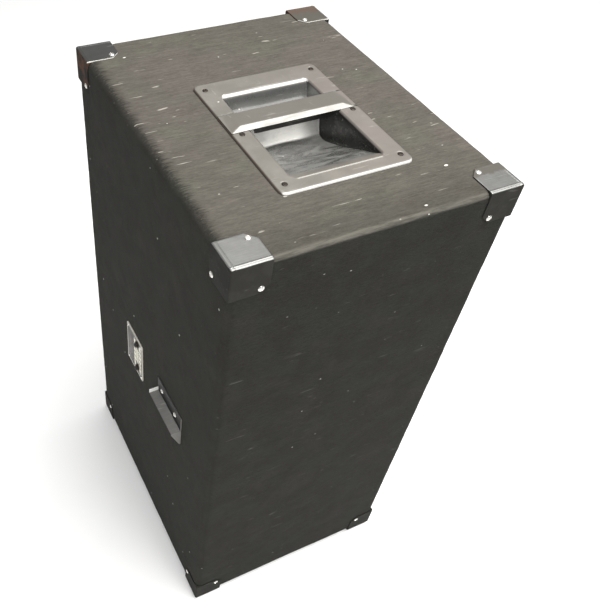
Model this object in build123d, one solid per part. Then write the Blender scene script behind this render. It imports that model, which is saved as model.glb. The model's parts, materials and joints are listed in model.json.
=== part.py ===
from build123d import *
import math
import os

os.makedirs("parts", exist_ok=True)

# Loudspeaker cabinet. Front (grille) faces -Y, connections on the rear at +Y,
# carrying handle on top. Origin: middle of the footprint, on the floor.

# ---------------------------------------------------------------- cabinet
CAB_W = 572.0          # X, over the carpet
CAB_D = 457.0          # Y, over the carpet
CAB_TOP = 1016.0       # top of the carpet above the floor
FOOT_H = 8.0           # rubber feet lift the box by this
CARPET_T = 3.0
PLY_T = 18.0
EDGE_R = 13.0          # outside radius of every carpeted edge
BAFFLE_SETBACK = 27.0  # front edge of the plywood to the baffle's face

# ---------------------------------------------------------------- top handle
HANDLE_X = -40.0       # middle of the flange
HANDLE_Y = -6.5
FLANGE_LX = 290.0
FLANGE_LY = 220.0
FLANGE_T = 2.0
DISH_T = 1.5
DISH_X0, DISH_X1 = -154.0, 69.0     # mouth of the pressed recess
DISH_HALF_Y = 75.0
DISH_FLOOR = [(-154.0, -2.0), (-22.0, -55.0), (-10.0, -57.0), (2.0, -55.0), (9.0, -49.0),
              (15.0, -38.5), (19.0, -37.0), (24.0, -38.0), (32.0, -37.0), (69.0, -2.0)]
STRAP_X0, STRAP_X1 = -23.0, 25.0
STRAP_HALF_Y = 102.5
STRAP_FOOT = 28.0      # length of each sloping end
STRAP_RISE = 10.0
STRAP_T = 3.0
STRAP_LIP = 12.0
HANDLE_HOLES = [(-165.0, 87.5), (-40.0, 87.5), (86.0, 87.5),
                (-165.0, -103.5), (-40.0, -103.5), (86.0, -103.5)]

# ---------------------------------------------------------------- corners
LEG_A, LEG_B, LEG_CLIP = 58.0, 54.0, 14.0
CORNER_T = 1.5
CORNER_SCREW = 45.0
FRONT_LIP = 20.0

# ---------------------------------------------------------------- rear
PLATE_X, PLATE_Z = 48.0, 493.5
PLATE_LX, PLATE_LZ, PLATE_T = 78.0, 105.0, 2.0
JACK_X = 35.0
JACK_Z = (529.0, 458.0)
JACK_R = 3.2           # 6.35 mm plug
LEDGE_X0, LEDGE_X1 = -173.0, -70.0
LEDGE_Z = 516.0
LEDGE_OUT = 20.0
LEDGE_T = 2.0
LEDGE_HOLES = [(-149.0, 536.0), (-91.0, 534.0)]

# ---------------------------------------------------------------- front
GRILLE_HALF_X = 261.0
GRILLE_Z0, GRILLE_Z1 = 33.0, 991.0
GRILLE_Y = -222.0
GRILLE_T = 1.5
GRILLE_FLANGE = 12.0
GRILLE_SCREWS = [(sx * 250.0, z) for sx in (-1, 1) for z in (45.0, 278.0, 512.0, 746.0, 979.0)] + [(0.0, 45.0), (0.0, 979.0)]

# ---------------------------------------------------------------- drivers
WOOFER_Z = 505.0
WOOFER_R = 194.0
WOOFER_CUT_R = 176.5
WOOFER_PCD_R = 185.0
HORN_Z = 845.0
HORN_LX, HORN_LZ = 480.0, 240.0
PORT_X, PORT_Z = 130.0, 175.0
PORT_R, PORT_T, PORT_L = 55.0, 3.0, 150.0
BOARD_X0, BOARD_X1, BOARD_Z0, BOARD_Z1 = -195.0, -30.0, 560.0, 685.0

HX, HY = CAB_W / 2, CAB_D / 2
Z0 = FOOT_H
INX = HX - CARPET_T - PLY_T
INZ0, INZ1 = Z0 + CARPET_T + PLY_T, CAB_TOP - CARPET_T - PLY_T
PLY_Y0, PLY_Y1 = -HY + CARPET_T, HY - CARPET_T
REAR_IN = PLY_Y1 - PLY_T
BAF_Y = PLY_Y0 + BAFFLE_SETBACK
BAF_BACK = BAF_Y + PLY_T


# ---------------------------------------------------------------- helpers
def bx(x0, x1, y0, y1, z0, z1):
    return Pos((x0 + x1) / 2, (y0 + y1) / 2, (z0 + z1) / 2) * Box(x1 - x0, y1 - y0, z1 - z0)


def cz(x, y, r, z0, z1):
    return Pos(x, y, (z0 + z1) / 2) * Cylinder(r, z1 - z0)


def cy(x, z, r, y0, y1):
    return Pos(x, (y0 + y1) / 2, z) * Rot(90, 0, 0) * Cylinder(r, y1 - y0)


def cx(y, z, r, x0, x1):
    return Pos((x0 + x1) / 2, y, z) * Rot(0, 90, 0) * Cylinder(r, x1 - x0)


def rounded(x0, x1, y0, y1, z0, z1, r):
    b = bx(x0, x1, y0, y1, z0, z1)
    return fillet(b.edges(), r)


def rev(*pts):
    """Solid of revolution about Z from (radius, height) points."""
    return revolve(make_face(Plane.XZ * Polyline(*pts, close=True)), Axis.Z)


def prism_x(pts, x0, x1):
    """Polygon of (y, z) points, extruded from x0 to x1."""
    f = make_face(Plane.YZ * Polyline(*pts, close=True))
    return Pos(x0, 0, 0) * extrude(f, x1 - x0, dir=(1, 0, 0))


def prism_y(pts, y0, y1):
    """Polygon of (x, z) points, extruded from y0 to y1."""
    f = make_face(Plane.XZ * Polyline(*pts, close=True))
    return Pos(0, y0, 0) * extrude(f, y1 - y0, dir=(0, 1, 0))


def prism_z(pts, z0, z1):
    f = make_face(Polyline(*pts, close=True))
    return Pos(0, 0, z0) * extrude(f, z1 - z0, dir=(0, 0, 1))


def driver(x, z, solid):
    """A driver is drawn with its axis on Z, depth positive, and set into the baffle."""
    return Pos(x, BAF_Y, z) * Rot(-90, 0, 0) * solid


def out(name, *solids):
    flat = []
    for s in solids:
        flat += list(s.solids())
    shape = flat[0] if len(flat) == 1 else Compound(flat)
    shape.label = name
    export_step(shape, f"parts/{name}.step")


# ---------------------------------------------------------------- fasteners
corner_screws_z, corner_screws_x, corner_screws_y = [], [], []
for sx in (-1, 1):
    for sy in (-1, 1):
        x, y = sx * (HX - CORNER_SCREW), sy * (HY - CORNER_SCREW)
        corner_screws_z += [(x, y, 1), (x, y, -1)]
    for top in (1, -1):
        z = CAB_TOP - CORNER_SCREW if top > 0 else Z0 + CORNER_SCREW
        for sy in (-1, 1):
            corner_screws_x.append((sy * (HY - CORNER_SCREW), z, sx))
        corner_screws_y.append((sx * (HX - CORNER_SCREW), z, 1))

feet_xy = [(sx * 205.0, sy * 150.0) for sx in (-1, 1) for sy in (-1, 1)]
PILOT = 1.9


def pilots_top():
    c = [cz(x, y, PILOT, INZ1 + 2, CAB_TOP + 4) for x, y, t in corner_screws_z if t > 0]
    return c + [cz(x, y, PILOT, INZ1 + 2, CAB_TOP + 4) for x, y in HANDLE_HOLES]


def pilots_bottom():
    c = [cz(x, y, PILOT, Z0 - 4, INZ0 - 2) for x, y, t in corner_screws_z if t < 0]
    return c + [cz(x, y, PILOT, Z0 - 4, INZ0 - 2) for x, y in feet_xy]


def pilots_side(sx):
    a, b = sorted((sx * (INX + 2), sx * (HX + 4)))
    return [cx(y, z, PILOT, a, b) for y, z, s in corner_screws_x if s == sx]


def pilots_rear():
    c = [cy(x, z, PILOT, REAR_IN + 2, HY + 4) for x, z, s in corner_screws_y]
    c += [cy(x, z, PILOT, REAR_IN + 2, HY + 4) for x, z in LEDGE_HOLES]
    return c + [cy(PLATE_X + a * 33.0, PLATE_Z + b * 47.0, 1.4, REAR_IN + 2, HY + 4) for a in (-1, 1) for b in (-1, 1)]


def pilots_board():
    return [cy(x, z, 1.6, REAR_IN - 1, REAR_IN + 11) for x in (BOARD_X0 + 8, BOARD_X1 - 8) for z in (BOARD_Z0 + 8, BOARD_Z1 - 8)]


# ---------------------------------------------------------------- shell
outer = rounded(-HX, HX, -HY, HY, Z0, CAB_TOP, EDGE_R)
core = rounded(-HX + CARPET_T, HX - CARPET_T, PLY_Y0, PLY_Y1, Z0 + CARPET_T, CAB_TOP - CARPET_T, EDGE_R - CARPET_T)

handle_cut = bx(DISH_X0 - 4, DISH_X1 + 4, HANDLE_Y - DISH_HALF_Y - 4, HANDLE_Y + DISH_HALF_Y + 4, INZ1 - 5, CAB_TOP + 5)
jack_cut = bx(PLATE_X - 29, PLATE_X + 29, REAR_IN - 5, HY + 5, PLATE_Z - 50 + 5, PLATE_Z + 50 - 5)

side_l = (core & bx(-HX, -INX, -HY, HY, 0, CAB_TOP)) - pilots_side(-1)
side_r = (core & bx(INX, HX, -HY, HY, 0, CAB_TOP)) - pilots_side(1)
top = (core & bx(-INX, INX, -HY, HY, INZ1, CAB_TOP)) - pilots_top() - [handle_cut]
bottom = (core & bx(-INX, INX, -HY, HY, 0, INZ0)) - pilots_bottom()
rear = (core & bx(-INX, INX, REAR_IN, HY, INZ0, INZ1)) - pilots_rear() - pilots_board() - [jack_cut]
out("side_panel_left", side_l)
out("side_panel_right", side_r)
out("top_panel", top)
out("bottom_panel", bottom)
out("rear_panel", rear)

# carpet: glued sleeve that turns in round the front rim, and a flat rear piece
skin = outer - core
skin = skin - bx(-INX + CARPET_T, INX - CARPET_T, -HY - 2, BAF_Y, INZ0 + CARPET_T, INZ1 - CARPET_T)
turn_in = bx(-INX, INX, PLY_Y0 - 1, BAF_Y - 0.5, INZ0, INZ1) - bx(-INX + CARPET_T, INX - CARPET_T, -HY - 2, BAF_Y + 1, INZ0 + CARPET_T, INZ1 - CARPET_T)
skin = skin + turn_in
skin = skin - pilots_top() - pilots_bottom() - pilots_side(-1) - pilots_side(1) - pilots_rear() - [handle_cut, jack_cut]
rear_cover_box = bx(-HX + EDGE_R, HX - EDGE_R, PLY_Y1 - 0.5, HY + 1, Z0 + EDGE_R, CAB_TOP - EDGE_R)
out("carpet_rear", skin & rear_cover_box)
out("carpet_wrap", skin - rear_cover_box)

# ---------------------------------------------------------------- frame inside
C = 20.0
cleats = []
for sx in (-1, 1):
    a, b = sorted((sx * INX, sx * (INX - C)))
    for z0, z1 in ((INZ0, 700.0), (718.0, INZ1)):
        cleats.append(bx(a, b, BAF_BACK, BAF_BACK + C, z0, z1))
for z0, z1 in ((INZ0, INZ0 + C), (INZ1 - C, INZ1)):
    cleats.append(bx(-INX + C, INX - C, BAF_BACK, BAF_BACK + C, z0, z1))
for sx in (-1, 1):
    a, b = sorted((sx * INX, sx * (INX - C)))
    for z0, z1 in ((INZ0, 700.0), (718.0, INZ1)):
        cleats.append(bx(a, b, REAR_IN - C, REAR_IN, z0, z1))
for z0, z1 in ((INZ0, INZ0 + C), (INZ1 - C, INZ1)):
    cleats.append(bx(-INX + C, INX - C, REAR_IN - C, REAR_IN, z0, z1))
out("glue_cleats", *cleats)
brace = bx(-INX, INX, BAF_BACK, REAR_IN, 700.0, 718.0) - bx(-215, 215, -125, 150, 690, 730)
out("window_brace", brace)

# ---------------------------------------------------------------- baffle
screw_bores = [cy(x, z, 2.1, BAF_Y - 1, BAF_BACK - 3) for x, z in GRILLE_SCREWS]
w_holes = [(WOOFER_PCD_R * math.cos(math.radians(22.5 + 45 * i)), WOOFER_PCD_R * math.sin(math.radians(22.5 + 45 * i))) for i in range(8)]
h_holes = [(sx * 228.0, dz) for sx in (-1, 1) for dz in (-108.0, 0.0, 108.0)] + [(0.0, 108.0), (0.0, -108.0)]
p_holes = [(64.0 * math.cos(math.radians(45 + 90 * i)), 64.0 * math.sin(math.radians(45 + 90 * i))) for i in range(4)]
baffle = bx(-INX, INX, BAF_Y, BAF_BACK, INZ0, INZ1)
baffle -= cy(0, WOOFER_Z, WOOFER_CUT_R, BAF_Y - 1, BAF_BACK + 1)
baffle -= bx(-218, 218, BAF_Y - 1, BAF_BACK + 1, HORN_Z - 98, HORN_Z + 98)
for sx in (-1, 1):
    baffle -= cy(sx * PORT_X, PORT_Z, PORT_R + PORT_T + 0.3, BAF_Y - 1, BAF_BACK + 1)
baffle -= [cy(dx, WOOFER_Z + dz, 3.6, BAF_Y - 1, BAF_BACK + 1) for dx, dz in w_holes]
baffle -= [cy(dx, HORN_Z + dz, PILOT, BAF_Y - 1, BAF_BACK - 2) for dx, dz in h_holes]
baffle -= [cy(sx * PORT_X + dx, PORT_Z + dz, 1.6, BAF_Y - 1, BAF_BACK - 4) for sx in (-1, 1) for dx, dz in p_holes]
baffle -= screw_bores
out("front_baffle", baffle)

# ---------------------------------------------------------------- grille
G0, G1 = GRILLE_Z0, GRILLE_Z1
GX = GRILLE_HALF_X
grille = bx(-GX, GX, GRILLE_Y, GRILLE_Y + GRILLE_FLANGE + GRILLE_T, G0, G1)
grille = fillet(grille.edges().filter_by(Axis.Y), 6)
inside = bx(-GX + GRILLE_T, GX - GRILLE_T, GRILLE_Y + GRILLE_T, GRILLE_Y + 60, G0 + GRILLE_T, G1 - GRILLE_T)
inside = fillet(inside.edges().filter_by(Axis.Y), 4.5)
grille = grille - inside - [cy(x, z, 2.8, GRILLE_Y - 1, GRILLE_Y + 3) for x, z in GRILLE_SCREWS]
out("grille", grille)
out("grille_spacers", *[cy(x, z, 7.0, GRILLE_Y + GRILLE_T, BAF_Y) - cy(x, z, 2.8, GRILLE_Y, BAF_Y + 1) for x, z in GRILLE_SCREWS])
out("grille_screws", *[cy(x, z, 5.2, GRILLE_Y - 2.8, GRILLE_Y) + cy(x, z, 2.0, GRILLE_Y - 1, BAF_BACK - 4) for x, z in GRILLE_SCREWS])

# ---------------------------------------------------------------- handle
zf = CAB_TOP + FLANGE_T
hx0, hx1 = HANDLE_X - FLANGE_LX / 2, HANDLE_X + FLANGE_LX / 2
hy0, hy1 = HANDLE_Y - FLANGE_LY / 2, HANDLE_Y + FLANGE_LY / 2
flange = bx(hx0, hx1, hy0, hy1, CAB_TOP, zf)
flange = fillet(flange.edges().filter_by(Axis.Z), 9)
inner_pts = [(DISH_X0, 12.0)] + DISH_FLOOR + [(DISH_X1, 12.0)]
inner_face = make_face(Plane.XZ * Polyline(*[(x, z + CAB_TOP) for x, z in inner_pts], close=True))
outer_face = offset(inner_face, amount=DISH_T, kind=Kind.INTERSECTION)
dish_in = Pos(0, HANDLE_Y - DISH_HALF_Y, 0) * extrude(inner_face, 2 * DISH_HALF_Y, dir=(0, 1, 0))
dish_out = Pos(0, HANDLE_Y - DISH_HALF_Y - DISH_T, 0) * extrude(outer_face, 2 * (DISH_HALF_Y + DISH_T), dir=(0, 1, 0))
dish_out = dish_out & bx(-300, 300, -200, 200, 900, CAB_TOP + 0.5)
dish = (flange + dish_out) - dish_in - [cz(x, y, 2.3, CAB_TOP - 1, zf + 1) for x, y in HANDLE_HOLES]
out("handle_dish", dish)

yl, yr = HANDLE_Y - STRAP_HALF_Y, HANDLE_Y + STRAP_HALF_Y
up = zf + STRAP_RISE
t = STRAP_T
strap = prism_x([(yl, zf), (yl + STRAP_FOOT, up), (yr - STRAP_FOOT, up), (yr, zf),
                 (yr - 8.4, zf), (yr - STRAP_FOOT - 1.0, up - t), (yl + STRAP_FOOT + 1.0, up - t), (yl + 8.4, zf)], STRAP_X0, STRAP_X1)
lip = bx(STRAP_X0, STRAP_X0 + 2.5, yl + 30.5, yr - 30.5, up - STRAP_LIP, up - 1)
out("handle_strap", strap + lip)
out("handle_screws", *[cz(x, y, 4.6, zf, zf + 2.4) + cz(x, y, 1.8, zf - 18, zf + 1) for x, y in HANDLE_HOLES])

# ---------------------------------------------------------------- corner protectors
plated = rounded(-HX - CORNER_T, HX + CORNER_T, -HY - CORNER_T, HY + CORNER_T, Z0 - CORNER_T, CAB_TOP + CORNER_T, EDGE_R + CORNER_T) - outer


def leg(a, b):
    return [(0, 0), (a, 0), (a, b - LEG_CLIP), (a - LEG_CLIP, b), (0, b)]


def corner(sx, sy, st):
    zc = CAB_TOP if st > 0 else Z0
    ox, oy, oz = sx * (HX + 3), sy * (HY + 3), zc + st * 3
    f = EDGE_R + 3 + 1.5

    def P(pts, ux, uy):
        return [(ux[0] + ux[1] * p, uy[0] + uy[1] * q) for p, q in pts]
    # plan leg: long side along Y, shorter along X
    plan = [(0, 0), (LEG_B + 3, 0), (LEG_B + 3, LEG_A + 3 - LEG_CLIP), (LEG_B + 3 - LEG_CLIP, LEG_A + 3), (0, LEG_A + 3)]
    z0, z1 = sorted((oz, oz - st * f))
    region = prism_z(P(plan, (ox, -sx), (oy, -sy)), z0, z1)
    x0, x1 = sorted((ox, ox - sx * f))
    side = [(0, 0), (LEG_A + 3, 0), (LEG_A + 3, LEG_B + 3 - LEG_CLIP), (LEG_A + 3 - LEG_CLIP, LEG_B + 3), (0, LEG_B + 3)]
    region += prism_x(P(side, (oy, -sy), (oz, -st)), x0, x1)
    y0, y1 = sorted((oy, oy - sy * f))
    if sy > 0:
        face = [(0, 0), (LEG_B + 3, 0), (LEG_B + 3, LEG_B + 3 - LEG_CLIP), (LEG_B + 3 - LEG_CLIP, LEG_B + 3), (0, LEG_B + 3)]
    else:
        lp = FRONT_LIP + 3
        face = [(0, 0), (LEG_B + 3, 0), (LEG_B + 3, lp), (lp, lp), (lp, LEG_B + 3), (0, LEG_B + 3)]
    region += prism_y(P(face, (ox, -sx), (oz, -st)), y0, y1)
    s = plated & region
    x, y = sx * (HX - CORNER_SCREW), sy * (HY - CORNER_SCREW)
    z = zc - st * (CORNER_SCREW)
    za, zb = sorted((zc - st * 2, zc + st * 4))
    s -= cz(x, y, 2.1, za, zb)
    xa, xb = sorted((sx * (HX - 2), sx * (HX + 4)))
    s -= cx(y, z, 2.1, xa, xb)
    if sy > 0:
        s -= cy(x, z, 2.1, HY - 2, HY + 4)
    return s


def corner_screw_set(sx, sy, st):
    x, y = sx * (HX - CORNER_SCREW), sy * (HY - CORNER_SCREW)
    zc = CAB_TOP if st > 0 else Z0
    z = zc - st * CORNER_SCREW
    T, HH, L = CORNER_T, 2.4, 15.0
    o = []
    a, b = sorted((zc + st * T, zc + st * (T + HH)))
    c, d = sorted((zc + st * (T + 1), zc - st * L))
    o.append(cz(x, y, 4.6, a, b) + cz(x, y, 1.8, c, d))
    X = HX
    a, b = sorted((sx * (X + T), sx * (X + T + HH)))
    c, d = sorted((sx * (X + T + 1), sx * (X - L)))
    o.append(cx(y, z, 4.6, a, b) + cx(y, z, 1.8, c, d))
    if sy > 0:
        o.append(cy(x, z, 4.6, HY + T, HY + T + HH) + cy(x, z, 1.8, HY - L, HY + T + 1))
    return o


out("corner_protectors_rear", *[corner(sx, 1, st) for sx in (-1, 1) for st in (-1, 1)])
out("corner_protectors_front", *[corner(sx, -1, st) for sx in (-1, 1) for st in (-1, 1)])
out("corner_screws", *[s for sx in (-1, 1) for sy in (-1, 1) for st in (-1, 1) for s in corner_screw_set(sx, sy, st)])

# ---------------------------------------------------------------- feet
feet = []
for x, y in feet_xy:
    f = Pos(x, y, FOOT_H / 2) * Rot(180, 0, 0) * Cone(20.0, 17.0, FOOT_H)
    feet.append(f - cz(x, y, 6.2, -1, 4) - cz(x, y, 2.2, -1, 9))
out("rubber_feet", *feet)
out("foot_screws", *[cz(x, y, 5.4, 1.4, 4) + cz(x, y, 1.8, 3, 23) for x, y in feet_xy])

# ---------------------------------------------------------------- rear hardware
plate = bx(PLATE_X - PLATE_LX / 2, PLATE_X + PLATE_LX / 2, HY, HY + PLATE_T, PLATE_Z - PLATE_LZ / 2, PLATE_Z + PLATE_LZ / 2)
plate = fillet(plate.edges().filter_by(Axis.Y), 3)
plate -= [cy(JACK_X, z, 4.85, HY - 1, HY + 3) for z in JACK_Z]
plate_screws = [(PLATE_X + a * 33.0, PLATE_Z + b * 47.0) for a in (-1, 1) for b in (-1, 1)]
plate -= [cy(x, z, 1.7, HY - 1, HY + 3) for x, z in plate_screws]
out("jack_plate", plate)
out("jack_plate_screws", *[cy(x, z, 3.0, HY + PLATE_T, HY + PLATE_T + 1.6) + cy(x, z, 1.3, HY - 11, HY + PLATE_T + 1) for x, z in plate_screws])
Y2 = HY + PLATE_T
out("jack_bushings", *[cy(JACK_X, z, 4.75, HY - 3, Y2 + 5) - cy(JACK_X, z, JACK_R, HY - 4, Y2 + 6) for z in JACK_Z])
out("jack_nuts", *[cy(JACK_X, z, 7.5, Y2, Y2 + 2.6) - cy(JACK_X, z, 4.75, Y2 - 1, Y2 + 4) for z in JACK_Z])
jb = []
for z in JACK_Z:
    b = bx(JACK_X - 9, JACK_X + 9, HY - 28, HY, z - 8.5, z + 8.5)
    b = b - cy(JACK_X, z, 4.75, HY - 3, HY + 1) - cy(JACK_X, z, 3.9, HY - 26, HY)
    jb.append(b)
out("jack_bodies", *jb)

lx0, lx1, lz, lt = LEDGE_X0, LEDGE_X1, LEDGE_Z, LEDGE_T
ledge = bx(lx0, lx1, HY, HY + LEDGE_OUT, lz - lt, lz)
ledge += bx(lx0, lx1, HY, HY + lt, lz - lt, lz + 36)
ledge += prism_x([(HY, lz), (HY + LEDGE_OUT, lz), (HY + LEDGE_OUT, lz - 4), (HY + 3, lz - 42), (HY, lz - 42)], lx0, lx0 + lt)
ledge += bx(lx1 - lt, lx1, HY + lt, HY + LEDGE_OUT, lz - lt, lz + 10)
ledge -= [cy(x, z, 2.6, HY - 1, HY + 4) for x, z in LEDGE_HOLES]
out("rear_ledge", ledge)
out("rear_ledge_screws", *[cy(x, z, 5.0, HY + lt, HY + lt + 3) + cy(x, z, 1.8, HY - 18, HY + lt + 1) for x, z in LEDGE_HOLES])

# ---------------------------------------------------------------- woofer (depth s behind the baffle's face)
D = lambda s: driver(0, WOOFER_Z, s)
frame = rev((172, -4), (178, -4), (178, -8), (WOOFER_R, -8), (WOOFER_R, 0), (175, 0), (175, 24), (171, 24), (171, 0), (172, -1))
ring = rev((62, 92), (92, 92), (92, 84), (96, 84), (96, 100), (62, 100))
spokes = []
for i in range(6):
    s = prism_y([(170.5, 4), (175, 4), (175, 24), (97, 100), (90, 100), (90, 92), (94, 84), (165, 14)], -11, 11)
    s = s - Cylinder(88.0, 300)
    spokes.append(Rot(0, 0, 60 * i) * s)
basket = frame + ring
for s in spokes:
    basket = basket + s
basket -= [Pos(a, -b, -4) * Cylinder(3.0, 20) for a, b in w_holes]
out("woofer_frame", D(basket))
out("woofer_gasket", D(rev((178.5, -11), (193.5, -11), (193.5, -8), (178.5, -8)) - [Pos(a, -b, -9) * Cylinder(3.2, 20) for a, b in w_holes]))
out("woofer_surround", D(rev((158, -4.0), (158, -4.8), (163.4, -4.8), (165.6, -8.0), (168, -9.0), (170.4, -8.0), (172.6, -4.8), (177.6, -4.8), (177.6, -4.0), (172.0, -4.0), (170.0, -7.2), (168, -8.1), (166, -7.2), (164, -4.0))))
out("woofer_cone", D(rev((158, -4.0), (163, -4.0), (163, -2.8), (158.6, -2.8), (39.4, 68.0), (38.7, 68.0), (38.7, 66.4))))
cap = [(51.0, 58.2)]
n = 10
for i in range(n + 1):
    a = math.radians(62 * (n - i) / n)
    cap.append((max(0.0, 57.0 * math.sin(a)), 40.0 + 57.0 * (1 - math.cos(a)) * 0.62))
cap = [(r, s) for r, s in cap if r <= 50.0]
cap_pts = [(50.0, 58.3)] + cap + [(0.0, 41.2)] + [(r * 0.975, s + 1.2) for r, s in reversed(cap[:-1])]
out("woofer_dust_cap", D(rev(*cap_pts)))
out("woofer_coil_former", D(rev((38.0, 62), (38.7, 62), (38.7, 117), (38.0, 117))))
out("woofer_voice_coil", D(rev((38.7, 97), (39.3, 97), (39.3, 113), (38.7, 113))))
sp = [(38.75, 80.6), (38.75, 79.8)]
lo, hi = [], []
for i in range(9):
    r = 43 + 5.2 * i
    lo.append((r, 79.8 + (1.6 if i % 2 else -1.6)))
    hi.append((r, 80.6 + (1.6 if i % 2 else -1.6)))
out("woofer_spider", D(rev((38.75, 79.9), *lo, (88.0, 83.2), (91.8, 83.2), (91.8, 84.0), (88.0, 84.0), *reversed(hi), (38.75, 80.7))))
out("woofer_top_plate", D(rev((39.9, 100), (80, 100), (80, 110), (39.9, 110))))
out("woofer_magnet", D(rev((46, 110), (90, 110), (90, 132), (46, 132))))
out("woofer_pole_plate", D(rev((10, 99), (37.3, 99), (37.3, 132), (80, 132), (80, 142), (10, 142))))
out("woofer_bolts", *[D(Pos(a, -b, -9.5 if False else 0) * (Pos(0, 0, -13.5) * Cylinder(5.0, 5) + Pos(0, 0, 4.5) * Cylinder(2.9, 33))) for a, b in w_holes])
out("woofer_tee_nuts", *[D(Pos(a, -b, 0) * (Pos(0, 0, PLY_T + 0.8) * Cylinder(9.5, 1.6) + Pos(0, 0, 12.5) * Cylinder(3.55, 11) - Pos(0, 0, 15) * Cylinder(2.95, 30))) for a, b in w_holes])
w_term = D(bx(-12, 12, -114, -95, 90, 99) - Cylinder(96.05, 400))

# ---------------------------------------------------------------- horn and compression driver
E = lambda s: driver(0, HORN_Z, s)
mx, mz = 424.0, 184.0
t = 4.0


def sect(w, h, s, r):
    return Pos(0, 0, s) * RectangleRounded(w, h, r)


inner1 = loft([sect(mx, mz, -6.5, 12), sect(300.0, 130.0, 60, 12)], ruled=True)
inner2 = loft([sect(300.0, 130.0, 60, 12), sect(110.0, 74.0, 150, 12)], ruled=True)
inner3 = loft([sect(110.0, 74.0, 150, 12), sect(36.0, 36.0, 216.5, 12)], ruled=True)
outer1 = loft([sect(mx + 2 * t, mz + 2 * t, -0.5, 16), sect(300.0 + 2 * t, 130.0 + 2 * t, 60, 16)], ruled=True)
outer2 = loft([sect(300.0 + 2 * t, 130.0 + 2 * t, 60, 16), sect(110.0 + 2 * t, 74.0 + 2 * t, 150, 16)], ruled=True)
outer3 = loft([sect(110.0 + 2 * t, 74.0 + 2 * t, 150, 16), sect(36.0 + 2 * t, 36.0 + 2 * t, 216, 16)], ruled=True)
flange = Pos(0, 0, -3) * extrude(RectangleRounded(HORN_LX, HORN_LZ, 12), 3, both=True)
horn = flange + outer1 + outer2 + outer3 + Pos(0, 0, 211) * Cylinder(58, 10)
horn = horn - inner1 - inner2 - inner3 - Pos(0, 0, 211) * Cylinder(18, 30)
horn -= [Pos(a, -b, -3) * Cylinder(2.3, 12) for a, b in h_holes]
out("horn_flare", E(horn))
out("horn_screws", *[E(Pos(a, -b, -7.4) * Cylinder(4.8, 2.8) + Pos(a, -b, 1) * Cylinder(1.8, 14)) for a, b in h_holes])
out("hf_front_plate", E(rev((18, 216), (84, 216), (84, 228), (44.4, 228), (44.4, 254), (26, 254), (18, 230))))
out("hf_magnet", E(rev((52, 228), (84, 228), (84, 244), (52, 244))))
out("hf_gap_plate", E(rev((46.2, 244), (84, 244), (84, 254), (46.2, 254))))
out("hf_phase_plug", E(rev((0, 236), (6, 236), (24.8, 252.5), (24.8, 254), (43.0, 254), (30, 262), (14, 266), (0, 267))))
dome = [(44.9, 247), (45.5, 247), (45.5, 258.2), (51.0, 258.2), (51.0, 258.6), (45.5, 258.6), (38, 263.5), (26, 268.5), (12, 271.2), (0, 271.6),
        (0, 270.9), (12, 270.5), (26, 267.8), (38, 262.8), (44.9, 258.3)]
out("hf_diaphragm", E(rev(*dome)))
out("hf_diaphragm_ring", E(rev((51.4, 254), (74, 254), (74, 259), (51.4, 259))))
out("hf_rear_cover", E(rev((76, 254), (84, 254), (84, 274), (70, 288), (0, 288), (0, 285), (69, 285), (80, 273.5), (80, 259), (76, 259))))
out("hf_bolts", *[E(Pos(50 * math.cos(a), 50 * math.sin(a), 0) * (Pos(0, 0, 202.5) * Cylinder(5, 7))) for a in (math.radians(45 + 90 * i) for i in range(4))])

# ---------------------------------------------------------------- ports
ports = []
for sx in (-1, 1):
    p = rev((PORT_R, -3), (PORT_R + 15, -3), (PORT_R + 15, 0), (PORT_R + PORT_T, 0), (PORT_R + PORT_T, PORT_L), (PORT_R, PORT_L))
    p = p - [Pos(a, -b, -2) * Cylinder(2.0, 12) for a, b in p_holes]
    ports.append(driver(sx * PORT_X, PORT_Z, p))
out("port_tubes", *ports)
port_screws = [driver(sx * PORT_X, PORT_Z, Pos(a, -b, -4) * Cylinder(3.6, 2) + Pos(a, -b, 4) * Cylinder(1.5, 16)) for sx in (-1, 1) for a, b in p_holes]

# ---------------------------------------------------------------- crossover, on the rear panel's inside
bx0, bx1, bz0, bz1 = BOARD_X0, BOARD_X1, BOARD_Z0, BOARD_Z1
by = REAR_IN
posts = [(bx0 + 8, bz0 + 8), (bx1 - 8, bz0 + 8), (bx0 + 8, bz1 - 8), (bx1 - 8, bz1 - 8)]
out("crossover_board", bx(bx0, bx1, by - 2, by, bz0, bz1) - [cy(x, z, 2.0, by - 4, by + 2) for x, z in posts])
board_screws = [cy(x, z, 3.6, by - 4, by - 2) + cy(x, z, 1.5, by - 3, by + 10) for x, z in posts]
out("small_screws", *port_screws, *board_screws)
out("crossover_inductors", *[cy(-158, z, 24, by - 27, by - 2) - cy(-158, z, 9, by - 30, by) for z in (650.0, 596.0)])
out("crossover_capacitors", *[cx(by - 2 - 11, z, 11, -122, -76) for z in (664.0, 638.0, 612.0)])
out("crossover_resistors", *[bx(-122, -72, by - 12, by - 2, z - 5, z + 5) for z in (588.0, 571.0)])
out("terminal_strips", w_term, bx(-62, -34, by - 26, by - 2, 584, 602))

# ---------------------------------------------------------------- wiring, clipped along the panels
def wire(pts, radius, r):
    path = FilletPolyline(*pts, radius=radius)
    start = Plane(origin=pts[0], z_dir=Vector(*pts[1]) - Vector(*pts[0]))
    return sweep(start * Circle(r), path=path)


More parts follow.
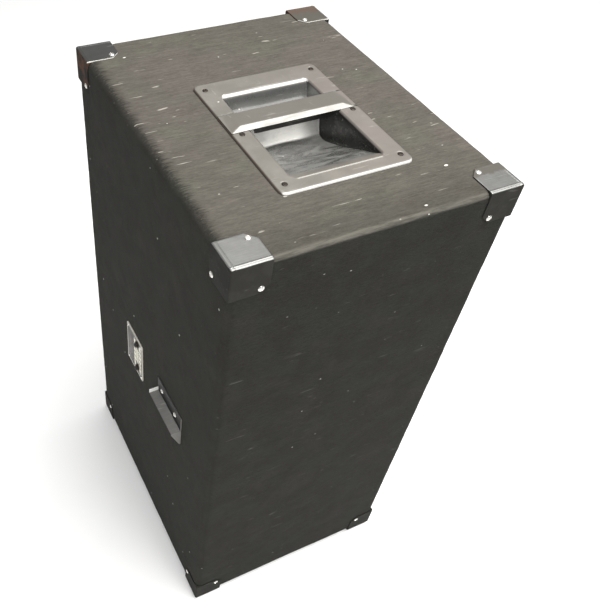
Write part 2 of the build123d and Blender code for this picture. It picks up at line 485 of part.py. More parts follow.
yt = by - 26
w1 = (wire([(JACK_X, HY - 28, JACK_Z[0]), (JACK_X, by - 22, JACK_Z[0]), (JACK_X, by - 22, 593), (-34, by - 22, 593)], 11, 2.5))
w2 = (cz(JACK_X, HY - 20, 1.6, JACK_Z[1] + 8.5, JACK_Z[0] - 8.5))
w3 = (wire([(-42, yt, 593), (-42, 120, 593), (0, 20, 609), (0, BAF_Y + 99, 609)], 30, 2.5))
w4 = (wire([(-54, yt, 593), (-54, 130, 593), (-54, 130, 735), (0, 35, 735), (0, 35, HORN_Z - 84)], 20, 2.5))
out("internal_wires", w1, w2, w3, w4)

# ---------------------------------------------------------------- wadding on the walls
L = 25.0
pads = []
for sx in (-1, 1):
    a, b = sorted((sx * INX, sx * (INX - L)))
    pads.append(bx(a, b, -150, 180, 60, 690))
    pads.append(bx(a, b, -120, 180, 730, 965))
pads.append(bx(-225, 225, REAR_IN - L, REAR_IN, 60, 430))
out("wadding", *pads)
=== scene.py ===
import json
import math

import bmesh
import bpy
import numpy as np
from mathutils import Matrix, Vector


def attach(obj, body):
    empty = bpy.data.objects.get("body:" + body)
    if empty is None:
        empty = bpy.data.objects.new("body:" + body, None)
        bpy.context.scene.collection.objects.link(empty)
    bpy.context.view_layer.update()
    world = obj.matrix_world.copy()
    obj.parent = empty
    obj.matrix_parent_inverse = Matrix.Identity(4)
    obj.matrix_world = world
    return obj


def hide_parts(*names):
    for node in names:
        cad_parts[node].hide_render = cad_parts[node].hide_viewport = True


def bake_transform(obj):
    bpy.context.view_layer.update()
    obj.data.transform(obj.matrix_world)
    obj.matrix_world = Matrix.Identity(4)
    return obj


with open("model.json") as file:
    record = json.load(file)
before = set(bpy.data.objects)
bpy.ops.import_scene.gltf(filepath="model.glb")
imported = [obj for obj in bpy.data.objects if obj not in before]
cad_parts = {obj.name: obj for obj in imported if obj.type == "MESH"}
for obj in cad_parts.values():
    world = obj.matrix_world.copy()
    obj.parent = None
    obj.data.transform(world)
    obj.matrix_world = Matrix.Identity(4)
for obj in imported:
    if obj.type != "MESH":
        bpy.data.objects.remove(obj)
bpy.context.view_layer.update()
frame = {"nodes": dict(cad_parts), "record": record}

scene = bpy.context.scene
MM = 0.001

# ------------------------------------------------------------------ sizes, metres, row frame
HX, HY = 0.286, 0.2285
Z0, Z1 = 0.008, 1.016
EDGE = 0.013
BAF = -0.1985
SLOT = {s["node"]: s["material_slot"] for s in frame["record"]["subparts"]}
BODY = {n: b for b, ns in frame["record"]["behaviour"]["bodies"].items() for n in ns}


# ------------------------------------------------------------------ camera
R = Matrix(((-0.426191, 0.688258, -0.587079), (-0.903172, -0.286849, 0.319372), (0.051408, 0.666347, 0.743868)))
cam = bpy.data.cameras.new("camera")
cam.sensor_width = 36.0
cam.lens = 729.0 * 36.0 / 600.0
cam.shift_x = (300 - 205) / 600.0
cam.shift_y = (322 - 300) / 600.0
cam.clip_start, cam.clip_end = 0.05, 100.0
cam_ob = bpy.data.objects.new("camera", cam)
scene.collection.objects.link(cam_ob)
cam_ob.matrix_world = Matrix.Translation((-0.8237, 0.5514, 1.6202)) @ R.to_4x4()
scene.camera = cam_ob

# ------------------------------------------------------------------ light
scene.view_settings.view_transform = "Standard"
scene.view_settings.look = "None"
world = bpy.data.worlds.new("world")
scene.world = world
world.use_nodes = True
world.node_tree.nodes["Background"].inputs[0].default_value = (0.93, 0.96, 1.0, 1)
world.node_tree.nodes["Background"].inputs[1].default_value = 0.24


def area(name, at, to, size, power, color=(1, 1, 1), size_y=None):
    d = bpy.data.lights.new(name, "AREA")
    d.energy, d.size, d.color = power, size, color
    if size_y:
        d.shape, d.size_y = "RECTANGLE", size_y
    o = bpy.data.objects.new(name, d)
    scene.collection.objects.link(o)
    o.location = at
    o.rotation_euler = (Vector(to) - Vector(at)).to_track_quat("-Z", "Y").to_euler()
    return o


area("overhead", (-0.8, -1.0, 4.6), (-0.2, -0.2, 0.0), 4.6, 375.0, (1.0, 0.985, 0.96))
area("side_key", (-2.3, -0.25, 2.35), (-0.05, 0.0, 0.95), 0.9, 13.0, (1.0, 0.985, 0.96), 0.6)
area("rear_key", (-1.7, 1.5, 2.2), (-0.1, 0.2, 0.6), 0.6, 22.0, (1.0, 0.99, 0.97))


# ------------------------------------------------------------------ mesh helpers
def link(ob):
    scene.collection.objects.link(ob)
    return ob


def mesh_object(name, verts, faces, angle=35.0):
    me = bpy.data.meshes.new(name)
    me.from_pydata([tuple(v) for v in verts], [], [tuple(f) for f in faces])
    me.validate()
    me.shade_smooth()
    me.set_sharp_from_angle(angle=math.radians(angle))
    return link(bpy.data.objects.new(name, me))


def bake_modifiers(ob, angle=35.0):
    dg = bpy.context.evaluated_depsgraph_get()
    dg.update()
    me = bpy.data.meshes.new_from_object(ob.evaluated_get(dg), depsgraph=dg)
    old = ob.data
    ob.modifiers.clear()
    ob.data = me
    if old.users == 0:
        bpy.data.meshes.remove(old)
    me.shade_smooth()
    me.set_sharp_from_angle(angle=math.radians(angle))
    return ob


def finish_piece(ob, node=None, nodes=(), slot=None, body=None, material=None):
    nodes = ([node] if node else []) + list(nodes)
    body = body or (BODY[nodes[0]] if nodes else "cabinet")
    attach(ob, body)
    if nodes:
        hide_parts(*nodes)
    s = slot or SLOT[nodes[0]]
    set_material(ob, material or MAT[s])
    return ob


def set_material(ob, m):
    ob.data.materials.clear()
    ob.data.materials.append(m)


def refine(node, bevel=0.4, segs=2, angle=30.0, material=None, smooth=40.0):
    """The CAD node's own shape with its edges rounded over."""
    src = frame["nodes"][node].data
    me = bpy.data.meshes.new(node + "_v")
    me.from_pydata([tuple(v.co) for v in src.vertices], [], [tuple(p.vertices) for p in src.polygons])
    bm = bmesh.new()
    bm.from_mesh(me)
    bmesh.ops.remove_doubles(bm, verts=bm.verts, dist=1e-6)
    bmesh.ops.dissolve_limit(bm, angle_limit=math.radians(1.0), verts=bm.verts, edges=bm.edges)
    bmesh.ops.recalc_face_normals(bm, faces=bm.faces)
    bm.to_mesh(me)
    bm.free()
    ob = link(bpy.data.objects.new(node + "_v", me))
    m = ob.modifiers.new("bevel", "BEVEL")
    m.width, m.segments, m.limit_method, m.angle_limit = bevel * MM, segs, "ANGLE", math.radians(angle)
    m.harden_normals = False
    bake_modifiers(ob, smooth)
    return finish_piece(ob, node, material=material)


def lathe(name, pts, cx, cz, segs=128, axis="y", y0=BAF, angle=35.0, a0=0.0, a1=360.0):
    """Closed outline of (radius, depth) mm about an axis along Y; depth grows towards the rear."""
    pts = [(r * MM, s * MM) for r, s in pts]
    full = abs(a1 - a0 - 360.0) < 1e-6
    n = segs if full else segs + 1
    verts, faces = [], []
    for i in range(n):
        a = math.radians(a0 + (a1 - a0) * i / segs)
        c, s_ = math.cos(a), math.sin(a)
        for r, s in pts:
            if axis == "y":
                verts.append((cx + r * c, y0 + s, cz + r * s_))
            else:
                verts.append((cx + r * c, cz + r * s_, y0 + s))
    m = len(pts)
    for i in range(n if full else n - 1):
        j = (i + 1) % n
        for k in range(m):
            l = (k + 1) % m
            faces.append((i * m + k, i * m + l, j * m + l, j * m + k))
    if not full:
        faces.append(tuple(range(m)))
        faces.append(tuple((n - 1) * m + k for k in reversed(range(m))))
    ob = mesh_object(name, verts, faces, angle)
    bm = bmesh.new()
    bm.from_mesh(ob.data)
    bmesh.ops.remove_doubles(bm, verts=bm.verts, dist=1e-7)
    bmesh.ops.dissolve_degenerate(bm, edges=bm.edges, dist=1e-7)
    bmesh.ops.recalc_face_normals(bm, faces=bm.faces)
    bm.to_mesh(ob.data)
    bm.free()
    ob.data.shade_smooth()
    ob.data.set_sharp_from_angle(angle=math.radians(angle))
    return ob


def arc(cx, cy, r, a0, a1, n=6):
    return [(cx + r * math.cos(math.radians(a0 + (a1 - a0) * i / n)), cy + r * math.sin(math.radians(a0 + (a1 - a0) * i / n))) for i in range(n + 1)]


def rr_loop(hx, hz, r, nx, nz, na):
    """Points of a rounded rectangle, anticlockwise, the same number at every size."""
    out = []
    r = min(r, hx - 1e-6, hz - 1e-6)
    sx, sz = hx - r, hz - r

    def corner(x, z, a):
        for i in range(na + 1):
            t = math.radians(a + 90.0 * i / na)
            out.append((x + r * math.cos(t), z + r * math.sin(t)))

    corner(sx, sz, 0)
    for i in range(1, nx):
        out.append((sx - 2 * sx * i / nx, hz))
    corner(-sx, sz, 90)
    for i in range(1, nz):
        out.append((-hx, sz - 2 * sz * i / nz))
    corner(-sx, -sz, 180)
    for i in range(1, nx):
        out.append((-sx + 2 * sx * i / nx, -hz))
    corner(sx, -sz, 270)
    for i in range(1, nz):
        out.append((hx, -sz + 2 * sz * i / nz))
    return out


def _hash(i, j, k, seed):
    n = (i.astype(np.int64) * 374761393 + j.astype(np.int64) * 668265263 + k.astype(np.int64) * 2147483647 + seed * 144665) & 0x7FFFFFFF
    n = (n ^ (n >> 13)) * 1274126177 & 0x7FFFFFFF
    return ((n ^ (n >> 16)) & 0xFFFF) / 65535.0


def noise(p, scale, seed=0):
    """Smooth value noise, -1 to 1, at points p."""
    q = np.asarray(p, float) * np.asarray(scale, float)
    i = np.floor(q).astype(np.int64)
    f = q - i
    f = f * f * (3 - 2 * f)
    v = 0.0
    for a in (0, 1):
        for b in (0, 1):
            for c in (0, 1):
                w = (f[:, 0] if a else 1 - f[:, 0]) * (f[:, 1] if b else 1 - f[:, 1]) * (f[:, 2] if c else 1 - f[:, 2])
                v = v + w * _hash(i[:, 0] + a, i[:, 1] + b, i[:, 2] + c, seed)
    return v * 2 - 1


def smooth(x, a, b):
    t = np.clip((np.asarray(x, float) - a) / (b - a), 0, 1)
    return t * t * (3 - 2 * t)


# ------------------------------------------------------------------ materials
class Tree:
    def __init__(self, name):
        self.m = bpy.data.materials.new(name)
        self.m.use_nodes = True
        self.t = self.m.node_tree
        self.bsdf = self.t.nodes["Principled BSDF"]
        self.co = self.t.nodes.new("ShaderNodeTexCoord").outputs["Object"]
        self.nrm = None

    def node(self, kind, **kw):
        n = self.t.nodes.new(kind)
        for k, v in kw.items():
            setattr(n, k, v)
        return n

    def put(self, sock, v):
        if isinstance(v, bpy.types.NodeSocket):
            self.t.links.new(v, sock)
        elif isinstance(v, (tuple, list)) and len(v) == 3 and sock.type == "RGBA":
            sock.default_value = (*v, 1)
        else:
            sock.default_value = v

    def normal(self):
        if self.nrm is None:
            self.nrm = self.node("ShaderNodeTexCoord").outputs["Normal"]
        return self.nrm

    def split(self, v):
        n = self.node("ShaderNodeSeparateXYZ")
        self.put(n.inputs[0], v)
        return n.outputs[0], n.outputs[1], n.outputs[2]

    def scaled(self, s, offset=(0, 0, 0)):
        n = self.node("ShaderNodeMapping")
        self.put(n.inputs["Vector"], self.co)
        n.inputs["Scale"].default_value = s
        n.inputs["Location"].default_value = offset
        return n.outputs[0]

    def noise(self, scale, detail=3.0, rough=0.55, stretch=(1, 1, 1), offset=(0, 0, 0), distort=0.0):
        n = self.node("ShaderNodeTexNoise")
        self.put(n.inputs["Vector"], self.scaled(stretch, offset))
        n.inputs["Scale"].default_value = scale
        n.inputs["Detail"].default_value = detail
        n.inputs["Roughness"].default_value = rough
        n.inputs["Distortion"].default_value = distort
        return n.outputs[0]

    def voronoi(self, scale, stretch=(1, 1, 1), feature="F1", rand=1.0, offset=(0, 0, 0)):
        n = self.node("ShaderNodeTexVoronoi", feature=feature)
        self.put(n.inputs["Vector"], self.scaled(stretch, offset))
        n.inputs["Scale"].default_value = scale
        if "Randomness" in n.inputs:
            n.inputs["Randomness"].default_value = rand
        return n

    def ramp(self, v, a, b, lo=0.0, hi=1.0):
        n = self.node("ShaderNodeMapRange", interpolation_type="SMOOTHSTEP")
        self.put(n.inputs[0], v)
        n.inputs[1].default_value, n.inputs[2].default_value = (a, b) if a < b else (b, a)
        n.inputs[3].default_value, n.inputs[4].default_value = (lo, hi) if a < b else (hi, lo)
        return n.outputs[0]

    def math(self, op, a, b=0.0, clamp=False):
        n = self.node("ShaderNodeMath", operation=op, use_clamp=clamp)
        self.put(n.inputs[0], a)
        self.put(n.inputs[1], b)
        return n.outputs[0]

    def mul(self, *v):
        o = v[0]
        for x in v[1:]:
            o = self.math("MULTIPLY", o, x)
        return o

    def mix(self, f, a, b, blend="MIX"):
        n = self.node("ShaderNodeMix", data_type="RGBA", blend_type=blend)
        self.put(n.inputs[0], f)
        self.put(n.inputs[6], a)
        self.put(n.inputs[7], b)
        return n.outputs[2]

    def bump(self, h, strength=0.3, dist=0.001, under=None):
        n = self.node("ShaderNodeBump")
        n.inputs["Strength"].default_value = strength
        n.inputs["Distance"].default_value = dist
        self.put(n.inputs["Height"], h)
        if under is not None:
            self.put(n.inputs["Normal"], under)
        return n.outputs[0]

    def done(self, color=None, rough=None, normal=None, metal=None, **sockets):
        b = self.bsdf
        if color is not None:
            self.put(b.inputs["Base Color"], color)
        if rough is not None:
            self.put(b.inputs["Roughness"], rough)
        if normal is not None:
            self.put(b.inputs["Normal"], normal)
        if metal is not None:
            self.put(b.inputs["Metallic"], metal)
        for k, v in sockets.items():
            b.inputs[k.replace("_", " ")].default_value = v
        return self.m


def simple(name, base, tint, scale=60.0, var=0.5, rough=(0.35, 0.6), bump=(0.15, 900.0, 0.0002), stretch=(1, 1, 1), metal=0.0,
           scratch=0.0, dust=0.0, dust_color=(0.25, 0.23, 0.2), pits=0.0, **sockets):
    """A moulded, cast, painted or sheet finish: two-scale colour, uneven gloss, fine relief, and scratches, pits and dust as asked."""
    t = Tree(name)
    big = t.noise(scale * 0.2, 3, 0.6)
    mid = t.noise(scale, 5, 0.6, stretch, (3.1, 1.7, 0.4))
    fine = t.noise(bump[1], 3, 0.6, stretch, (0.7, 2.9, 5.3))
    f = t.math("ADD", t.mul(big, 0.5), t.mul(mid, 0.5))
    col = t.mix(t.ramp(f, 0.5 - var * 0.5, 0.5 + var * 0.5), base, tint)
    col = t.mix(t.mul(t.ramp(fine, 0.35, 0.7), 0.25), col, tuple(min(1.0, c * 1.5 + 0.01) for c in base))
    rg = t.ramp(t.math("ADD", t.mul(mid, 0.6), t.mul(fine, 0.4)), 0.35, 0.65, rough[0], rough[1])
    h = t.bump(fine, bump[0], bump[2])
    if pits:
        v = t.voronoi(bump[1] * 0.35)
        h = t.bump(t.ramp(v.outputs["Distance"], 0.0, 0.35), pits, bump[2] * 1.5, h)
    if scratch:
        s = t.ramp(t.noise(420.0, 2, 0.5, (1.0, 0.05, 0.3), (9, 4, 2), 0.4), 0.66, 0.72)
        s = t.math("MAXIMUM", s, t.ramp(t.noise(380.0, 2, 0.5, (0.06, 1.0, 0.8), (2, 8, 5), 0.5), 0.67, 0.73))
        s = t.mul(s, t.ramp(big, 0.42, 0.62))
        col = t.mix(t.mul(s, scratch), col, tuple(min(1.0, c * 2.5 + 0.12) for c in base))
        rg = t.math("SUBTRACT", rg, t.mul(s, 0.12 * scratch), True)
    if dust:
        up = t.ramp(t.split(t.normal())[2], 0.35, 0.98)
        dn = t.mul(up, t.ramp(t.noise(90.0, 4, 0.65, (1, 1, 1), (5, 5, 5)), 0.3, 0.75))
        col = t.mix(t.mul(dn, dust), col, dust_color)
        rg = t.math("ADD", rg, t.mul(dn, 0.35 * dust), True)
    return t.done(col, rg, h, metal, **sockets)


def carpet_material():
    """Short black needle-punched carpet, pile brushed front to back, greyed with dust and handling on top, where the
    lighter colour is also painted light for the stronger light the top gets; a painted highlight along the rounded -X
    edges and the rear face painted lighter; with lint and scuffs.
    """
    t = Tree("carpet")
    x, y, z = t.split(t.co)
    nx, ny, nz = t.split(t.normal())
    fibre = t.noise(900.0, 4, 0.7, (1.0, 0.16, 1.0))
    strand = t.noise(330.0, 3, 0.6, (1.0, 0.07, 1.0), (1.3, 0.2, 0.7), 0.35)
    curl = t.noise(560.0, 3, 0.65, (1, 1, 1), (4.2, 1.1, 3.3), 1.2)
    mott = t.noise(46.0, 5, 0.62, (1, 0.6, 1), (0.4, 7.7, 2.2))
    cloud = t.noise(7.0, 3, 0.55, (1, 1, 1), (2.4, 0.7, 8.2))
    # black pile, with faint brown and green casts
    pile = t.mix(t.ramp(t.noise(26.0, 4, 0.6, (1, 0.8, 1), (8, 3, 1)), 0.36, 0.66), (0.0265, 0.0258, 0.0218), (0.0300, 0.0308, 0.0260))
    pile = t.mix(t.mul(t.ramp(t.noise(15.0, 3, 0.6, (1, 1, 1), (1, 6, 4)), 0.52, 0.68), 0.35), pile, (0.044, 0.037, 0.034))
    pile = t.mix(t.ramp(fibre, 0.25, 0.75), t.mix(1.0, pile, (0.62, 0.62, 0.62), "MULTIPLY"), t.mix(1.0, pile, (1.3, 1.3, 1.3), "MULTIPLY"))
    # painted light: faces towards +Y get a lighter pile (x0.99) than the rest (x0.77), standing in for the light the
    # rear face lacks
    painted_rear_light = t.ramp(ny, 0.35, 0.9, 0.77, 0.99)
    painted_rear_light_rgb = t.node("ShaderNodeCombineColor")
    for i in range(3):
        t.put(painted_rear_light_rgb.inputs[i], painted_rear_light)
    pile = t.mix(1.0, pile, painted_rear_light_rgb.outputs[0], "MULTIPLY")
    # dust and fading on upward faces, which is also painted light: the lighter top stands in for the stronger light it
    # gets; thinner towards the rear and the near edge
    up = t.ramp(nz, 0.45, 0.97)
    rear = t.ramp(y, 0.2245, 0.165, 0.0, 1.0)
    ragged = t.math("ADD", y, t.mul(t.math("SUBTRACT", strand, 0.5), 0.05))
    rear = t.ramp(ragged, 0.203, 0.2265, 1.0, 0.08)
    dust_and_top_light = t.mix(t.ramp(cloud, 0.40, 0.62), (0.098, 0.091, 0.077), (0.108, 0.097, 0.085))
    dust_and_top_light = t.mix(t.ramp(t.noise(11.0, 3, 0.6, (1, 0.7, 1), (3, 9, 1)), 0.48, 0.66), dust_and_top_light, (0.103, 0.099, 0.082))
    dust_and_top_light_amount = t.mul(up, rear, t.ramp(mott, 0.22, 0.62, 0.78, 1.0), t.ramp(x, -0.286, -0.20, 0.62, 1.0))
    grain = t.ramp(t.math("ADD", t.mul(fibre, 0.60), t.mul(strand, 0.40)), 0.30, 0.66, 0.70, 1.20)
    g = t.node("ShaderNodeCombineColor")
    for i in range(3):
        t.put(g.inputs[i], grain)
    dust_and_top_light = t.mix(1.0, dust_and_top_light, g.outputs[0], "MULTIPLY")
    col = t.mix(dust_and_top_light_amount, pile, dust_and_top_light)
    # painted highlight: a light line along the rounded edges facing -X and up, where the fuzz catches the light
    edge = t.mul(t.ramp(nz, 0.30, 0.62), t.ramp(nz, 0.97, 0.80, 0.0, 1.0), t.ramp(nx, -0.2, -0.5, 0.0, 1.0))
    col = t.mix(t.mul(edge, t.ramp(strand, 0.3, 0.6, 0.35, 0.9), 0.60), col, (0.185, 0.175, 0.152))
    # light strokes lying along the pile
    st = t.ramp(t.noise(170.0, 2, 0.5, (1.0, 0.13, 1.0), (5.5, 2.2, 9.1), 0.3), 0.690, 0.745)
    st = t.mul(st, t.ramp(t.noise(12.0, 2, 0.5, (1, 1, 1), (7, 1, 3)), 0.40, 0.60, 0.15, 1.0))
    col = t.mix(t.mul(st, t.ramp(nz, 0.2, 0.9, 0.10, 0.62)), col, (0.46, 0.44, 0.39))
    # lint
    v = t.voronoi(34.0, (1.0, 0.55, 1.0))
    pick = t.ramp(t.split(v.outputs["Color"])[0], 0.72, 0.74)
    lint = t.mul(t.ramp(v.outputs["Distance"], 0.045, 0.075, 1.0, 0.0), pick)
    v2 = t.voronoi(75.0, (1.0, 0.6, 1.0), offset=(3.3, 1.2, 0.7))
    pick2 = t.ramp(t.split(v2.outputs["Color"])[1], 0.88, 0.89)
    lint2 = t.mul(t.ramp(v2.outputs["Distance"], 0.05, 0.09, 1.0, 0.0), pick2, t.ramp(cloud, 0.42, 0.56, 0.25, 1.0))
    lint = t.math("MAXIMUM", lint, lint2)
    col = t.mix(t.mul(lint, t.ramp(nz, 0.1, 0.9, 0.55, 0.92)), col, (0.78, 0.77, 0.72))
    h1 = t.bump(t.math("ADD", t.mul(fibre, 0.6), t.mul(curl, 0.4)), 0.9, 0.0012)
    h2 = t.bump(t.math("ADD", t.mul(strand, 0.7), t.mul(mott, 0.6)), 0.55, 0.0022, h1)
    return t.done(col, t.ramp(fibre, 0.3, 0.7, 0.86, 1.0), h2, None, Sheen_Weight=0.02, Sheen_Roughness=0.6, Specular_IOR_Level=0.06)


def steel_worn(name, paint_and_painted_reflection, metal_color, paint_rough, metal_rough, up=(0.2, 0.7), corner=False):
    """Sheet steel whose finish has worn off the faces and bends that get rubbed, with rust left in the sheltered ones,
    plus painted light: dark side legs on the corners as painted shade for the dark the plated steel reflects, and
    painted highlights on -X-facing lips, ends and edges.
    """
    t = Tree(name)
    nx, ny, nz = t.split(t.normal())
    x, y, z = t.split(t.co)
    blot = t.noise(55.0, 5, 0.62, (1, 1, 1), (1, 2, 3), 0.2)
    broad = t.noise(14.0, 3, 0.5, (1, 1, 1), (7, 7, 2))
    fine = t.noise(520.0, 4, 0.6, (1, 1, 1), (3, 2, 1))
    brush = t.noise(640.0, 3, 0.6, (1.0, 0.05, 1.0), (1, 5, 2))
    f = t.math("ADD", nz, t.mul(t.math("SUBTRACT", blot, 0.5), 0.5))
    bare = t.ramp(f, up[0], up[1])
    if corner:
        bare = t.mul(bare, t.ramp(z, 0.5, 0.9))
    met = t.mix(t.ramp(t.math("ADD", t.mul(blot, 0.5), t.mul(broad, 0.5)), 0.3, 0.7), metal_color, tuple(c * 0.8 for c in metal_color))
    met = t.mix(t.mul(t.ramp(brush, 0.4, 0.75), 0.35), met, tuple(min(1, c * 1.25) for c in metal_color))
    if corner:
        # the corners over the far side have darker bare metal, and have rusted on the side legs
        met = t.mix(t.mul(t.ramp(x, 0.0, 0.10), t.ramp(y, 0.0, 0.1), 0.70), met, tuple(c * 0.22 for c in metal_color))
        rust = t.mix(t.ramp(x, -0.05, 0.10), tuple(c * 1.25 for c in paint_and_painted_reflection), t.mix(t.ramp(z, 0.4, 0.9), (0.030, 0.026, 0.022), (0.092, 0.046, 0.029)))
        finish_and_painted_reflection = t.mix(t.ramp(t.noise(38.0, 4, 0.6, (1, 1, 1), (6, 1, 2)), 0.42, 0.62), paint_and_painted_reflection, rust)
        far2 = t.mul(t.ramp(x, 0.0, 0.10), t.ramp(y, 0.0, -0.10), t.ramp(nz, 0.5, 0.9))
        met = t.mix(t.mul(far2, 0.92), met, t.mix(t.ramp(t.math("ADD", x, t.mul(t.math("SUBTRACT", blot, 0.5), 0.05)), 0.256, 0.276), (0.082, 0.077, 0.064), (0.100, 0.066, 0.048)))
        grime = t.mul(t.ramp(y, 0.0, -0.05), t.ramp(x, -0.02, -0.06), t.ramp(t.math("ADD", x, t.mul(t.math("SUBTRACT", blot, 0.5), 0.02)), -0.256, -0.246), t.ramp(nz, 0.5, 0.9))
        dull = t.mul(t.math("SUBTRACT", 1.0, t.mul(grime, 0.9)), t.math("SUBTRACT", 1.0, t.mul(far2, 0.85)))
        met = t.mix(t.mul(grime, 0.9), met, (0.088, 0.082, 0.070))
    else:
        finish_and_painted_reflection = t.mix(t.ramp(blot, 0.3, 0.7), paint_and_painted_reflection, tuple(c * 1.5 for c in paint_and_painted_reflection))
        dull = 1.0
    # bare metal where worn through, the dark finish elsewhere; on the corner pressings that dark finish on the side
    # legs is painted shade, standing in for the dark the plated steel reflects
    col = t.mix(bare, finish_and_painted_reflection, met)
    if corner:
        # painted highlight: a light line on the -X-facing edges of the far corners' top legs
        col = t.mix(t.mul(t.ramp(nx, -0.40, -0.65), t.ramp(x, 0.0, 0.05), t.ramp(z, 1.0152, 1.0160)), col, (0.80, 0.79, 0.75))
    else:
        # painted highlights: the ledge's -X-facing lip is painted near white, and its -X-facing near end lighter grey
        col = t.mix(t.mul(t.ramp(nx, -0.5, -0.8), t.ramp(x, -0.0765, -0.0745)), col, (0.95, 0.95, 0.92))
        col = t.mix(t.mul(t.ramp(nx, -0.5, -0.8), t.ramp(x, -0.16, -0.17)), col, (0.22, 0.215, 0.20))
    sc = t.ramp(t.noise(300.0, 2, 0.5, (1.0, 0.07, 0.5), (4, 9, 7), 0.5), 0.66, 0.72)
    col = t.mix(t.mul(sc, t.ramp(bare, 0.0, 1.0, 0.06, 0.5), dull), col, tuple(min(1, c * 1.3 + 0.1) for c in metal_color))
    rg = t.math("ADD", t.ramp(bare, 0.0, 1.0, paint_rough, metal_rough), t.mul(t.math("SUBTRACT", fine, 0.5), 0.18), True)
    h = t.bump(fine, 0.12, 0.0003)
    h = t.bump(t.mul(brush, 0.5), 0.06, 0.0003, h)
    return t.done(col, rg, h, t.mul(t.ramp(bare, 0.2, 0.9, 0.0, 0.85), dull), Specular_IOR_Level=0.10 if corner else 0.35)


